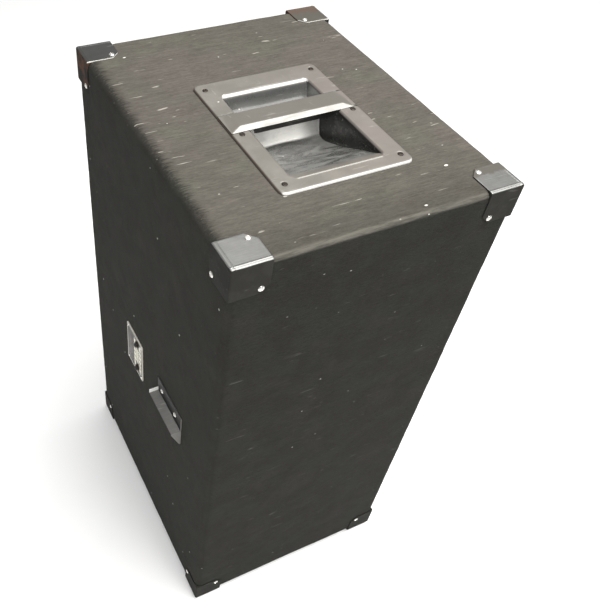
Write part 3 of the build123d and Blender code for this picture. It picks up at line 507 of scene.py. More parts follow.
def handle_material():
    """Black enamel on pressed steel, greyed where hands and cases rub, with painted light and shade: painted highlights
    on the lips and the strap's bevel, a painted lit patch on the wall under the strap, and painted shade in the groove,
    on the +Y-facing wall, inside the far opening, on the band under the strap and along the rear edge.
    """
    t = Tree("handle_steel")
    x, y, z = t.split(t.co)
    nx, ny, nz = t.split(t.normal())
    cloud = t.noise(22.0, 4, 0.6, (1, 1, 1), (2, 1, 5))
    smear = t.noise(60.0, 4, 0.62, (1.0, 0.35, 1.0), (4, 4, 1), 0.6)
    fine = t.noise(700.0, 3, 0.6, (1, 1, 1), (3, 8, 1))
    enamel = t.mix(t.ramp(cloud, 0.35, 0.65), (0.158, 0.150, 0.132), (0.192, 0.179, 0.159))
    enamel = t.mix(t.mul(t.ramp(y, 0.06, -0.11), t.ramp(t.noise(9.0, 3, 0.5, (1, 1, 1), (7, 7, 1)), 0.35, 0.6, 0.4, 1.0)), enamel, (0.180, 0.158, 0.144))
    enamel = t.mix(t.mul(t.ramp(z, 1.0199, 1.0207), 0.85), enamel, (0.135, 0.127, 0.110))
    # painted shade: a near-black line in the groove behind the strap
    painted_groove_shade = t.mul(t.ramp(x, 0.0116, 0.0122), t.ramp(x, 0.0146, 0.0138))
    deep = t.ramp(z, 1.0155, 1.0075)
    inside = t.mix(t.ramp(smear, 0.32, 0.68), (0.066, 0.066, 0.062), (0.180, 0.180, 0.171))
    swirl = t.noise(17.0, 3, 0.55, (1.0, 0.55, 1.0), (6, 2, 3), 2.2)
    inside = t.mix(t.mul(t.ramp(swirl, 0.52, 0.70), 0.55), inside, (0.28, 0.28, 0.268))
    inside = t.mix(t.mul(t.ramp(swirl, 0.47, 0.34), 0.55), inside, (0.045, 0.045, 0.043))
    enamel = t.mix(t.mul(painted_groove_shade, 0.9), enamel, (0.02, 0.019, 0.017))
    col = t.mix(deep, enamel, inside)
    # painted shade: the +Y-facing walls below the flange are painted near black
    black = t.mul(t.ramp(ny, 0.30, 0.75), t.ramp(z, 1.0178, 1.0150))
    col = t.mix(black, col, (0.006, 0.006, 0.005))
    # painted light: the -X-facing wall under the strap is painted near white where the light falls on it
    worn = t.mul(t.ramp(nx, -0.30, -0.66), t.ramp(x, -0.022, -0.014), t.ramp(x, 0.016, 0.010), t.ramp(z, 1.0165, 1.0120))
    worn = t.mul(worn, t.ramp(smear, 0.15, 0.50, 0.70, 1.0), t.ramp(y, -0.062, -0.030, 0.25, 1.0))
    col = t.mix(worn, col, (0.92, 0.91, 0.865))
    # painted shade: inside the far opening the colour runs from grey by the saddle to near black at the far wall
    far = t.mul(t.ramp(x, 0.012, 0.020), t.ramp(z, 1.0170, 1.0130))
    col = t.mix(far, col, t.mix(t.ramp(x, 0.036, 0.060), (0.20, 0.20, 0.19), (0.050, 0.050, 0.048)))
    # painted shadow: the turned-under edge of the strap is painted near black, the band of shade under the strap
    turned = t.mul(t.ramp(x, -0.0362, -0.0358), t.ramp(x, -0.030, -0.032), t.ramp(z, 1.0198, 1.0190), t.ramp(z, 1.0085, 1.0090))
    col = t.mix(turned, col, (0.008, 0.008, 0.007))
    sc = t.ramp(t.noise(260.0, 2, 0.5, (0.9, 0.09, 1), (5, 3, 9), 0.6), 0.66, 0.73)
    sc = t.math("MAXIMUM", sc, t.ramp(t.noise(240.0, 2, 0.5, (0.1, 0.9, 1), (2, 9, 3), 0.6), 0.69, 0.75))
    col = t.mix(t.mul(sc, 0.28), col, (0.42, 0.41, 0.37))
    v = t.voronoi(60.0, (1.0, 0.7, 1.0))
    lint = t.mul(t.ramp(v.outputs["Distance"], 0.05, 0.09, 1.0, 0.0), t.ramp(t.split(v.outputs["Color"])[0], 0.93, 0.94))
    col = t.mix(t.mul(lint, t.ramp(nz, 0.5, 0.9)), col, (0.75, 0.74, 0.70))
    # painted highlights: the -X-facing lips, the far lip and the strap's bevel take light colours
    lip = t.mul(t.ramp(nx, -0.18, -0.44), t.ramp(z, 1.0150, 1.0168), t.ramp(smear, 0.2, 0.5, 0.8, 1.0))
    lip = t.mul(lip, t.math("SUBTRACT", 1.0, turned), t.math("SUBTRACT", 1.0, t.mul(t.ramp(x, 0.004, 0.008), t.ramp(x, 0.032, 0.026))))
    bevel = t.mul(t.ramp(x, -0.037, -0.036), t.ramp(x, -0.018, -0.020), t.ramp(z, 1.0190, 1.0196))
    shine = t.mix(t.ramp(smear, 0.3, 0.7), (0.58, 0.575, 0.55), (0.45, 0.445, 0.42))
    shine = t.mix(t.mul(t.ramp(x, -0.164, -0.1615), t.ramp(x, -0.150, -0.155)), shine, (0.27, 0.262, 0.240))
    shine = t.mix(t.ramp(x, 0.030, 0.045), shine, (0.60, 0.595, 0.57))
    shine = t.mix(bevel, shine, t.mix(t.ramp(smear, 0.3, 0.7), (0.43, 0.425, 0.40), (0.33, 0.325, 0.305)))
    col = t.mix(lip, col, shine)
    # painted shade: a dark brown line along the flange's +Y-facing rear edge
    painted_back_edge_shade = t.mul(t.ramp(ny, 0.25, 0.6), t.ramp(y, 0.098, 0.101))
    col = t.mix(painted_back_edge_shade, col, (0.055, 0.042, 0.034))
    rg = t.math("SUBTRACT", t.ramp(t.math("ADD", t.mul(smear, 0.6), t.mul(fine, 0.4)), 0.36, 0.66, 0.30, 0.54), t.mul(deep, 0.10), True)
    h = t.bump(fine, 0.10, 0.0003)
    h = t.bump(smear, 0.16, 0.0014, h)
    return t.done(col, rg, h, t.mul(lip, 0.15), Specular_IOR_Level=0.5, Coat_Weight=0.08, Coat_Roughness=0.25)


def plate_material():
    """Printed aluminium connection plate: light border, two columns of cream dashes round the sockets, a dull red block beside them."""
    t = Tree("jack_plate")
    x, y, z = t.split(t.co)
    u = t.math("SUBTRACT", x, 0.048)
    w = t.math("SUBTRACT", z, 0.4935)

    def between(v, a, b, soft=0.0006):
        return t.mul(t.ramp(v, a - soft, a + soft), t.ramp(v, b - soft, b + soft, 1.0, 0.0))

    blot = t.noise(90.0, 5, 0.65, (1, 1, 1), (2, 3, 1))
    fine = t.noise(800.0, 3, 0.6, (1, 1, 1), (5, 1, 1))
    col = t.mix(t.ramp(blot, 0.3, 0.7), (0.028, 0.026, 0.022), (0.055, 0.050, 0.042))
    red = t.mul(between(u, 0.004, 0.032), between(w, -0.040, 0.040))
    col = t.mix(t.mul(red, t.ramp(blot, 0.25, 0.6, 0.4, 0.9)), col, (0.046, 0.034, 0.028))
    cream = (0.92, 0.88, 0.72)
    bars = None
    for a, b in ((-0.0320, -0.0225), (-0.0045, 0.0035)):
        b0 = between(u, a, b)
        bars = b0 if bars is None else t.math("MAXIMUM", bars, b0)
    seg = t.math("PINGPONG", t.math("ADD", w, 1.0), 0.0065)
    bars = t.mul(bars, between(w, -0.042, 0.042), t.ramp(seg, 0.0008, 0.0016))
    mid = t.mul(between(u, -0.0205, -0.0055), between(w, -0.021, 0.021), t.ramp(t.math("PINGPONG", t.math("ADD", w, 1.0), 0.0035), 0.0006, 0.0012))
    col = t.mix(t.mul(t.math("MAXIMUM", bars, t.mul(mid, 0.95)), t.ramp(blot, 0.25, 0.50, 0.55, 1.0)), col, cream)
    inner = t.mul(between(u, -0.0362, 0.0362, 0.0004), between(w, -0.0497, 0.0497, 0.0004))
    col = t.mix(inner, (0.60, 0.58, 0.50), col)
    sc = t.ramp(t.noise(320.0, 2, 0.5, (0.4, 1, 1), (4, 3, 7), 0.7), 0.66, 0.72)
    col = t.mix(t.mul(sc, 0.5), col, (0.55, 0.53, 0.47))
    rg = t.ramp(t.math("ADD", t.mul(blot, 0.5), t.mul(fine, 0.5)), 0.35, 0.65, 0.30, 0.52)
    return t.done(col, rg, t.bump(fine, 0.10, 0.0002), 0.05, Specular_IOR_Level=0.3)


def plywood_material():
    """Birch ply: figured face, thin dark glue lines across the edges."""
    t = Tree("plywood")
    x, y, z = t.split(t.co)
    nx, ny, nz = t.split(t.normal())
    grain = t.noise(38.0, 6, 0.62, (1.0, 1.0, 0.06), (1, 1, 1), 0.9)
    pore = t.noise(520.0, 3, 0.6, (1, 1, 0.05), (4, 4, 4))
    col = t.mix(t.ramp(grain, 0.32, 0.68), (0.62, 0.45, 0.26), (0.44, 0.28, 0.14))
    col = t.mix(t.mul(t.ramp(pore, 0.56, 0.72), 0.5), col, (0.23, 0.13, 0.06))
    lay = t.node("ShaderNodeTexWave", wave_type="BANDS", bands_direction="DIAGONAL")
    t.put(lay.inputs["Vector"], t.co)
    lay.inputs["Scale"].default_value, lay.inputs["Distortion"].default_value, lay.inputs["Detail"].default_value = 130.0, 0.4, 1.0
    ends = t.math("SUBTRACT", 1.0, t.math("MAXIMUM", t.math("ABSOLUTE", nx), t.math("ABSOLUTE", ny)))
    col = t.mix(t.mul(t.ramp(lay.outputs[1], 0.5, 0.8), t.ramp(ends, 0.3, 0.9), 0.7), col, (0.20, 0.11, 0.05))
    return t.done(col, t.ramp(grain, 0.3, 0.7, 0.55, 0.8), t.bump(pore, 0.25, 0.0004), None)


def weave_material(name, a, b, scale, rough=0.8, strength=0.5):
    t = Tree(name)
    w1 = t.node("ShaderNodeTexWave", wave_type="BANDS", bands_direction="X")
    w2 = t.node("ShaderNodeTexWave", wave_type="BANDS", bands_direction="Z")
    for w in (w1, w2):
        t.put(w.inputs["Vector"], t.co)
        w.inputs["Scale"].default_value, w.inputs["Distortion"].default_value = scale, 0.6
        w.inputs["Detail"].default_value = 1.0
    weave = t.math("MAXIMUM", w1.outputs[1], w2.outputs[1])
    n = t.noise(40.0, 4, 0.6)
    col = t.mix(t.ramp(t.math("ADD", t.mul(weave, 0.5), t.mul(n, 0.5)), 0.3, 0.8), a, b)
    return t.done(col, t.ramp(n, 0.3, 0.7, rough - 0.08, min(1.0, rough + 0.1)), t.bump(weave, strength, 0.0003), None)


def fibre_material(name, a, b, scale, rough=0.95, strength=0.8, sheen=0.2):
    t = Tree(name)
    n1 = t.noise(scale, 6, 0.7, (1, 1, 1), (2, 2, 2), 2.0)
    n2 = t.noise(scale * 0.12, 4, 0.6)
    vo = t.voronoi(scale * 0.5, feature="DISTANCE_TO_EDGE")
    thread = t.ramp(vo.outputs["Distance"], 0.0, 0.12, 1.0, 0.0)
    col = t.mix(t.ramp(t.math("ADD", t.mul(n1, 0.6), t.mul(n2, 0.4)), 0.3, 0.7), a, b)
    col = t.mix(t.mul(thread, 0.35), col, tuple(min(1, c * 1.4 + 0.03) for c in b))
    return t.done(col, t.ramp(n1, 0.3, 0.7, rough - 0.15, rough), t.bump(t.math("ADD", t.mul(n1, 0.7), t.mul(thread, 0.5)), strength, 0.0008), None, Sheen_Weight=sheen, Sheen_Roughness=0.5)


def winding_material(name, a, b, pitch, metal):
    t = Tree(name)
    w = t.node("ShaderNodeTexWave", wave_type="BANDS", bands_direction="Y", wave_profile="SIN")
    t.put(w.inputs["Vector"], t.co)
    w.inputs["Scale"].default_value, w.inputs["Distortion"].default_value = 3.14 / pitch / 20.0 * 2, 0.15
    n = t.noise(120.0, 3, 0.6)
    col = t.mix(t.ramp(w.outputs[1], 0.2, 0.8), a, b)
    col = t.mix(t.mul(t.ramp(n, 0.45, 0.7), 0.4), col, tuple(c * 0.6 for c in a))
    return t.done(col, t.ramp(n, 0.3, 0.7, 0.22, 0.42), t.bump(w.outputs[1], 0.6, 0.0003), metal)


MAT = {
    "carpet": carpet_material(),
    "plywood": plywood_material(),
    "grille_black": simple("grille_enamel", (0.018, 0.018, 0.019), (0.034, 0.033, 0.031), 70, 0.5, (0.35, 0.6), (0.22, 1300, 0.0002), scratch=0.5, dust=0.4, pits=0.15),
    "handle_black": handle_material(),
    "black_screw": simple("black_screw", (0.030, 0.026, 0.023), (0.062, 0.045, 0.034), 160, 0.5, (0.28, 0.5), (0.15, 1500, 0.0001), metal=0.55, scratch=0.7),
    # corner pressings: the dark finish given here for the side legs is painted shade for the dark the plated steel
    # reflects there
    "corner_steel": steel_worn("corner_steel", (0.024, 0.0235, 0.021), (0.31, 0.31, 0.30), 0.80, 0.42, (0.55, 0.80), True),
    "nickel": simple("nickel", (0.84, 0.83, 0.80), (0.66, 0.63, 0.57), 130, 0.6, (0.12, 0.26), (0.08, 1600, 0.0001), metal=0.75, scratch=0.4),
    "plate_grey": plate_material(),
    "ledge_black": steel_worn("ledge_steel", (0.014, 0.0135, 0.013), (0.165, 0.163, 0.157), 0.55, 0.46, (0.35, 0.8)),
    "rubber": simple("rubber", (0.020, 0.020, 0.020), (0.042, 0.040, 0.038), 70, 0.5, (0.7, 0.92), (0.35, 1100, 0.0003), pits=0.25),
    "black_plastic": simple("black_plastic", (0.020, 0.020, 0.021), (0.034, 0.034, 0.034), 50, 0.5, (0.38, 0.6), (0.35, 1500, 0.0002), pits=0.3, dust=0.25),
    "cast_frame": simple("cast_frame", (0.028, 0.028, 0.029), (0.055, 0.054, 0.052), 60, 0.5, (0.42, 0.66), (0.4, 800, 0.0004), pits=0.35),
    "gasket": fibre_material("gasket", (0.022, 0.022, 0.021), (0.045, 0.043, 0.040), 700.0, 0.95, 0.5, 0.05),
    "paper_cone": fibre_material("paper_cone", (0.024, 0.023, 0.022), (0.060, 0.057, 0.052), 420.0, 0.92, 0.6, 0.1),
    "cloth_edge": weave_material("cloth_edge", (0.018, 0.018, 0.017), (0.050, 0.048, 0.044), 75.0, 0.75, 0.6),
    "spider_cloth": weave_material("spider_cloth", (0.42, 0.27, 0.09), (0.62, 0.43, 0.17), 60.0, 0.85, 0.6),
    "former": simple("former", (0.55, 0.38, 0.16), (0.40, 0.25, 0.09), 90, 0.5, (0.3, 0.5), (0.1, 900, 0.0001)),
    "copper": winding_material("copper", (0.62, 0.26, 0.10), (0.86, 0.42, 0.20), 0.0006, 0.9),
    "ferrite": simple("ferrite", (0.035, 0.036, 0.039), (0.070, 0.070, 0.072), 110, 0.5, (0.55, 0.8), (0.3, 700, 0.0003), pits=0.4),
    "zinc_steel": simple("zinc_steel", (0.56, 0.57, 0.56), (0.42, 0.42, 0.38), 75, 0.6, (0.25, 0.45), (0.12, 900, 0.0002), metal=0.9, scratch=0.5),
    "titanium": simple("titanium", (0.52, 0.51, 0.50), (0.44, 0.43, 0.42), 90, 0.5, (0.25, 0.38), (0.08, 1200, 0.0001), metal=0.95),
    "board": simple("board", (0.30, 0.20, 0.08), (0.20, 0.13, 0.05), 70, 0.5, (0.4, 0.6), (0.15, 900, 0.0002)),
    "inductor": winding_material("inductor", (0.45, 0.19, 0.08), (0.72, 0.34, 0.15), 0.0012, 0.75),
    "capacitor": simple("capacitor", (0.42, 0.31, 0.05), (0.33, 0.24, 0.04), 80, 0.4, (0.25, 0.4), (0.08, 700, 0.0002)),
    "resistor": simple("resistor", (0.60, 0.58, 0.53), (0.48, 0.46, 0.41), 140, 0.6, (0.6, 0.85), (0.4, 900, 0.0003), pits=0.3),
    "wire_sheath": simple("wire_sheath", (0.16, 0.022, 0.020), (0.10, 0.016, 0.015), 90, 0.5, (0.35, 0.5), (0.1, 800, 0.0002)),
    "wadding": fibre_material("wadding", (0.62, 0.61, 0.57), (0.80, 0.79, 0.76), 160.0, 1.0, 1.0, 0.3),
}
SCREW_SIDE = MAT["nickel"]

# ------------------------------------------------------------------ floor
n = 48
v, f = [], []
for i in range(n + 1):
    for j in range(n + 1):
        v.append((-12 + 24 * i / n, -12 + 24 * j / n, 0.0))
for i in range(n):
    for j in range(n):
        a = i * (n + 1) + j
        f.append((a, a + n + 1, a + n + 2, a + 1))
floor = mesh_object("floor", v, f)
t = Tree("floor_paper")
fn = t.noise(9.0, 3, 0.5)
set_material(floor, t.done(t.mix(t.ramp(fn, 0.3, 0.7), (0.93, 0.935, 0.94), (0.945, 0.945, 0.94)), 0.85, t.bump(t.noise(500.0, 2, 0.5), 0.03, 0.0003), None, Specular_IOR_Level=0.15, Emission_Color=(1, 1, 1, 1), Emission_Strength=0.06))


# ------------------------------------------------------------------ carpet
def pressed(p):
    """How far the carpet is squeezed at each point, 0 to 1: under the corner protectors, handle flange, plate and ledge."""
    x, y, z = np.abs(p[:, 0]), np.abs(p[:, 1]), p[:, 2]
    dz = np.minimum(z - Z0, Z1 - z)
    cx, cy = HX - x, HY - y

    def near(a, l):
        return smooth(a, l + 0.004, l)
    ex, ey, ez = near(cx, 0.056), near(cy, 0.060), near(dz, 0.056)
    c = np.maximum.reduce([ex * ey * ez])
    h = near(np.abs(p[:, 0] + 0.040), 0.1445) * near(np.abs(p[:, 1] + 0.0065), 0.1095) * (z > 1.0)
    j = near(np.abs(p[:, 0] - 0.048), 0.0385) * near(np.abs(p[:, 2] - 0.4935), 0.052) * (p[:, 1] > 0.2)
    l = near(np.abs(p[:, 0] + 0.1215), 0.051) * near(np.abs(p[:, 2] - 0.514), 0.038) * (p[:, 1] > 0.2)
    return np.clip(np.maximum.reduce([c, h, j, l]), 0, 1)


def pile_shape(ob, seed):
    me = ob.data
    co = np.zeros(len(me.vertices) * 3)
    me.vertices.foreach_get("co", co)
    co = co.reshape(-1, 3)
    no = np.zeros(len(me.vertices) * 3)
    me.vertices.foreach_get("normal", no)
    no = no.reshape(-1, 3)
    lumps = 0.30 * noise(co, (18, 12, 18), seed) + 0.22 * noise(co, (60, 30, 60), seed + 3) + 0.16 * noise(co, (170, 70, 170), seed + 5)
    k = pressed(co)
    d = (lumps * (1 - k) - 0.55 * k) * MM
    co = co + no * d[:, None]
    me.vertices.foreach_set("co", co.ravel())
    me.update()


NXS, NZS, NA = 116, 204, 8
zc, hz = (Z0 + Z1) / 2, (Z1 - Z0) / 2
rows = []
for i in range(6):
    rows.append((24.0, -199.2 - 25.0 * i / 5, 2.0))
for i in range(1, 5):
    a = math.radians(90 * i / 4)
    rows.append((24.0 - 4 * (1 - math.cos(a)), -224.5 - 4 * math.sin(a), 1.4))
rows.append((16.5, -228.5, 1.0))
for i in range(0, 9):
    a = math.radians(90 * i / 8)
    d = 13.0 * (1 - math.sin(a))
    rows.append((d, -215.5 - 13 * math.cos(a), max(0.9, 13.0 * math.sin(a))))
ny = 88
for i in range(1, ny + 1):
    rows.append((0.0, -215.5 + 431.0 * i / ny, 13.0))
for i in range(1, 9):
    a = math.radians(90 * i / 8)
    rows.append((13.0 * (1 - math.cos(a)), 215.5 + 13 * math.sin(a), max(0.9, 13.0 * math.cos(a))))
verts, faces = [], []
for d, y, r in rows:
    for px, pz in rr_loop(HX - d * MM, hz - d * MM, r * MM, NXS, NZS, NA):
        verts.append((px, y * MM, zc + pz))
N = len(verts) // len(rows)
va = np.array(verts)
for i in range(len(rows) - 1):
    for j in range(N):
        k = (j + 1) % N
        q = (i * N + j, i * N + k, (i + 1) * N + k, (i + 1) * N + j)
        c = va[list(q)].mean(0)
        if c[2] > 1.01 and -0.1595 < c[0] < 0.0745 and -0.0865 < c[1] < 0.0735:
            continue
        faces.append(q)
wrap = mesh_object("carpet_sleeve", verts, faces, 60)
bm = bmesh.new()
bm.from_mesh(wrap.data)
bmesh.ops.delete(bm, geom=[x for x in bm.verts if not x.link_faces], context="VERTS")
bmesh.ops.recalc_face_normals(bm, faces=bm.faces)
ft = max(bm.faces, key=lambda q: q.calc_center_median().z)
if ft.normal.z < 0:
    bmesh.ops.reverse_faces(bm, faces=bm.faces)
bm.to_mesh(wrap.data)
bm.free()
pile_shape(wrap, 1)
m = wrap.modifiers.new("solid", "SOLIDIFY")
m.thickness, m.offset = 0.0029, -1.0
bake_modifiers(wrap, 60)
finish_piece(wrap, "carpet_wrap")

gx, gz = 112, 200
xs = np.linspace(-HX + 0.0131, HX - 0.0131, gx + 1)
zs = np.linspace(Z0 + 0.0131, Z1 - 0.0131, gz + 1)
verts = [(x, 0.2285, z) for x in xs for z in zs]
faces = []
for i in range(gx):
    for j in range(gz):
        a = i * (gz + 1) + j
        c = ((xs[i] + xs[i + 1]) / 2, (zs[j] + zs[j + 1]) / 2)
        if 0.0195 < c[0] < 0.0765 and 0.449 < c[1] < 0.538:
            continue
        faces.append((a, a + 1, a + gz + 2, a + gz + 1))
rear = mesh_object("carpet_back", verts, faces, 60)
bm = bmesh.new()
bm.from_mesh(rear.data)
bmesh.ops.delete(bm, geom=[x for x in bm.verts if not x.link_faces], context="VERTS")
bmesh.ops.recalc_face_normals(bm, faces=bm.faces)
if next(iter(bm.faces)).normal.y < 0:
    bmesh.ops.reverse_faces(bm, faces=bm.faces)
bm.to_mesh(rear.data)
bm.free()
pile_shape(rear, 1)
m = rear.modifiers.new("solid", "SOLIDIFY")
m.thickness, m.offset = 0.0029, -1.0
bake_modifiers(rear, 60)
finish_piece(rear, "carpet_rear")


# ------------------------------------------------------------------ screws
def head_grid(r, h, style, n=22, recess=None):
    """Pan or round head about +Z, base at 0, with a cross recess. Returns verts, faces and the base rim's vertex
    indices.
    """
    verts, faces = [], []
    rec = recess or 0.52 * r
    for i in range(n + 1):
        for j in range(n + 1):
            u, w = 2 * i / n - 1, 2 * j / n - 1
            m_ = max(abs(u), abs(w))
            if m_ < 1e-9:
                x = y = 0.0
            else:
                a = math.atan2(w, u)
                x, y = m_ * math.cos(a), m_ * math.sin(a)
                if abs(u) >= abs(w):
                    p = (math.pi / 4) * (w / u)
                    x, y = u * math.cos(p), abs(u) * math.sin(p) * (1 if u > 0 else 1)
                    y = u * math.sin(p)
                else:
                    p = (math.pi / 4) * (u / w)
                    x, y = w * math.sin(p), w * math.cos(p)
            q = math.hypot(x, y)
            if style == "round":
                z = h * math.sqrt(max(0.0, 1 - (0.94 * q) ** 2))
            else:
                z = h * (1 - 0.10 * q * q) if q < 0.72 else h * (1 - 0.10 * q * q - 0.62 * ((q - 0.72) / 0.28) ** 2)
            X, Y = x * r, y * r
            arm = 0.17 * rec / 0.5
            inside = max(min(arm - abs(X), rec - abs(Y)), min(arm - abs(Y), rec - abs(X)))
            z -= 0.55 * h * min(1.0, max(0.0, inside / (0.10 * rec) + 0.5)) * (1 - 0.35 * min(1.0, math.hypot(X, Y) / rec))
            verts.append((X, Y, max(0.08 * h, z)))
    g = n + 1
    for i in range(n):
        for j in range(n):
            a = i * g + j
            faces.append((a, a + g, a + g + 1, a + 1))
    rim = [i * g for i in range(n)] + [n * g + j for j in range(n)] + [i * g + n for i in range(n, 0, -1)] + [j for j in range(n, 0, -1)]
    low = len(verts)
    for k in rim:
        x, y, z = verts[k]
        verts.append((x, y, 0.0))
    c = len(rim)
    for k in range(c):
        l = (k + 1) % c
        faces.append((rim[l], rim[k], low + k, low + l))
    return verts, faces, list(range(low, low + c))


def screw_shape(r, h, shank_r, shank_len, style="pan", n=22, thread=1.1):
    verts, faces, base = head_grid(r, h, style, n)
    c = len(base)
    ring0 = len(verts)
    seg = 12
    for k in range(seg):
        a = 2 * math.pi * k / seg + 0.01
        verts.append((shank_r * math.cos(a), shank_r * math.sin(a), 0.0))
    # annulus under the head
    ang = [math.atan2(verts[b][1], verts[b][0]) % (2 * math.pi) for b in base]
    near = [int(round((a / (2 * math.pi)) * seg)) % seg for a in ang]
    for k in range(c):
        l = (k + 1) % c
        if near[k] == near[l]:
            faces.append((base[l], base[k], ring0 + near[k]))
        else:
            faces.append((base[l], base[k], ring0 + near[k], ring0 + near[l]))
    prev = ring0
    steps = max(4, int(shank_len / thread * 2))
    for s in range(1, steps + 1):
        d = shank_len * s / steps
        rr = shank_r * (1.0 if s % 2 else 0.78)
        if d > shank_len * 0.8:
            rr *= max(0.12, (shank_len - d) / (0.2 * shank_len))
        b = len(verts)
        for k in range(seg):
            a = 2 * math.pi * k / seg + 0.01
            verts.append((rr * math.cos(a), rr * math.sin(a), -d))
        for k in range(seg):
            l = (k + 1) % seg
            faces.append((prev + l, prev + k, b + k, b + l))
        prev = b
    faces.append(tuple(prev + k for k in reversed(range(seg))))
    return np.array(verts), faces


def screws(name, node, spots, r, h, shank_r, shank_len, style="pan", material=None, n=22, body=None, nodes=()):
    """spots: (x, y, z of the seat in mm, outward axis, turn in degrees)."""
    sv, sf = screw_shape(r, h, shank_r, shank_len, style, n)
    V, F = [], []
    for x, y, z, ax, turn in spots:
        d = Vector(ax).normalized()
        q = d.to_track_quat("Z", "Y").to_matrix() @ Matrix.Rotation(math.radians(turn), 3, "Z")
        M_ = np.array(q)
        b = len(V)
        P = sv @ M_.T + np.array([x, y, z])
        V += [tuple(p * MM) for p in P]
        F += [tuple(b + i for i in f_) for f_ in sf]
    ob = mesh_object(name, V, F, 38)
    return finish_piece(ob, node, nodes=nodes, material=material, body=body)


HH = [(-165, 87.5), (-40, 87.5), (86, 87.5), (-165, -103.5), (-40, -103.5), (86, -103.5)]
screws("handle_screw_heads", "handle_screws", [(x, y, 1018.6, (0, 0, 1), 17 + 37 * i) for i, (x, y) in enumerate(HH)], 4.4, 1.5, 1.8, 16)
cs = []
for sx in (-1, 1):
    for sy in (-1, 1):
        for st in (-1, 1):
            X, Y = sx * (286 - 45), sy * (228.5 - 45)
            zt = 1016 if st > 0 else 8
            cs.append((X, Y, zt + st * 1.5, (0, 0, st), 11 * sx + 23 * sy))
            cs.append((sx * 287.5, Y, zt - st * 45, (sx, 0, 0), 40 * sy + 13 * st))
            if sy > 0:
                cs.append((X, 230.0, zt - st * 45, (0, 1, 0), 25 * sx + 31 * st))
screws("corner_screw_heads", "corner_screws", cs, 4.6, 2.4, 1.8, 15, "round")
screws("plate_screw_heads", "jack_plate_screws", [(48 + a * 33, 230.5, 493.5 + b * 47, (0, 1, 0), 20 * a + 31 * b) for a in (-1, 1) for b in (-1, 1)], 3.0, 1.6, 1.3, 11)
screws("ledge_screw_heads", "rear_ledge_screws", [(-149, 230.5, 536, (0, 1, 0), 20), (-91, 230.5, 534, (0, 1, 0), 57)], 5.0, 3.0, 1.8, 18, "round")
GS = [(sx * 250.0, z) for sx in (-1, 1) for z in (45, 278, 512, 746, 979)] + [(0, 45), (0, 979)]
screws("grille_screw_heads", "grille_screws", [(x, -222, z, (0, -1, 0), 13 * i) for i, (x, z) in enumerate(GS)], 5.2, 2.8, 2.0, 38)
screws("foot_screw_heads", "foot_screws", [(sx * 205, sy * 150, 4, (0, 0, -1), 30 * sx) for sx in (-1, 1) for sy in (-1, 1)], 5.4, 2.6, 1.8, 19)
H8 = [(sx * 228.0, dz) for sx in (-1, 1) for dz in (-108.0, 0.0, 108.0)] + [(0.0, 108.0), (0.0, -108.0)]
screws("horn_screw_heads", "horn_screws", [(a, -198.5 - 6, 845 + b, (0, -1, 0), 19 * i) for i, (a, b) in enumerate(H8)], 4.8, 2.8, 1.8, 14)
ps = []
for sx in (-1, 1):
    for i in range(4):
        a = math.radians(45 + 90 * i)
        ps.append((sx * 130 + 64 * math.cos(a), -198.5 - 3, 175 + 64 * math.sin(a), (0, -1, 0), 31 * i))
RIN = 207.5
for x in (-187, -38):
    for z in (568, 677):
        ps.append((x, 207.5 - 2, z, (0, -1, 0), 20))
screws("small_screw_heads", "small_screws", ps, 3.6, 2.0, 1.5, 12, n=16)
wb = [(185 * math.cos(math.radians(22.5 + 45 * i)), 185 * math.sin(math.radians(22.5 + 45 * i))) for i in range(8)]
screws("woofer_bolt_heads", "woofer_bolts", [(a, -198.5 - 11, 505 + b, (0, -1, 0), 15 * i) for i, (a, b) in enumerate(wb)], 5.0, 4.6, 2.9, 32, "round")


# ------------------------------------------------------------------ top handle
ZT = 1019.4      # top of the flange
FX0, FX1, FY0, FY1 = -185.0, 105.0, -116.5, 103.5
MX0, MX1, MHY, MYC = -157.0, 65.0, 76.2, -5.3


def profile(x):
    """Floor of the recess along X, in mm below the flange, smooth through its bends."""
    px = np.array([-162.0, -157, -151, -134, -104, -68, -44, -30, -22, -15, -10, -6, -2, 2, 5, 8, 12, 18, 30, 44, 50, 54, 58, 61, 65, 70])
    pz = np.array([0.0, 0.6, 3.6, 12.5, 26.0, 43.0, 52.0, 56.0, 57.5, 57.2, 55.0, 50.0, 43.0, 35.5, 30.5, 27.5, 26.2, 25.8, 25.6, 25.0, 22.0, 15.5, 7.0, 2.4, 0.4, 0.0])
    return np.interp(x, px, pz)


def smooth_profile(x):
    s = 0.0
    w_ = (0.06, 0.24, 0.4, 0.24, 0.06)
    for k, w in zip((-2.4, -1.2, 0, 1.2, 2.4), w_):
        s = s + w * profile(np.asarray(x) + k)
    return s


def spread(parts):
    out = []
    for a, b, n in parts:
        out += list(np.linspace(a, b, n, endpoint=False))
    out.append(parts[-1][1])
    return np.array(out)


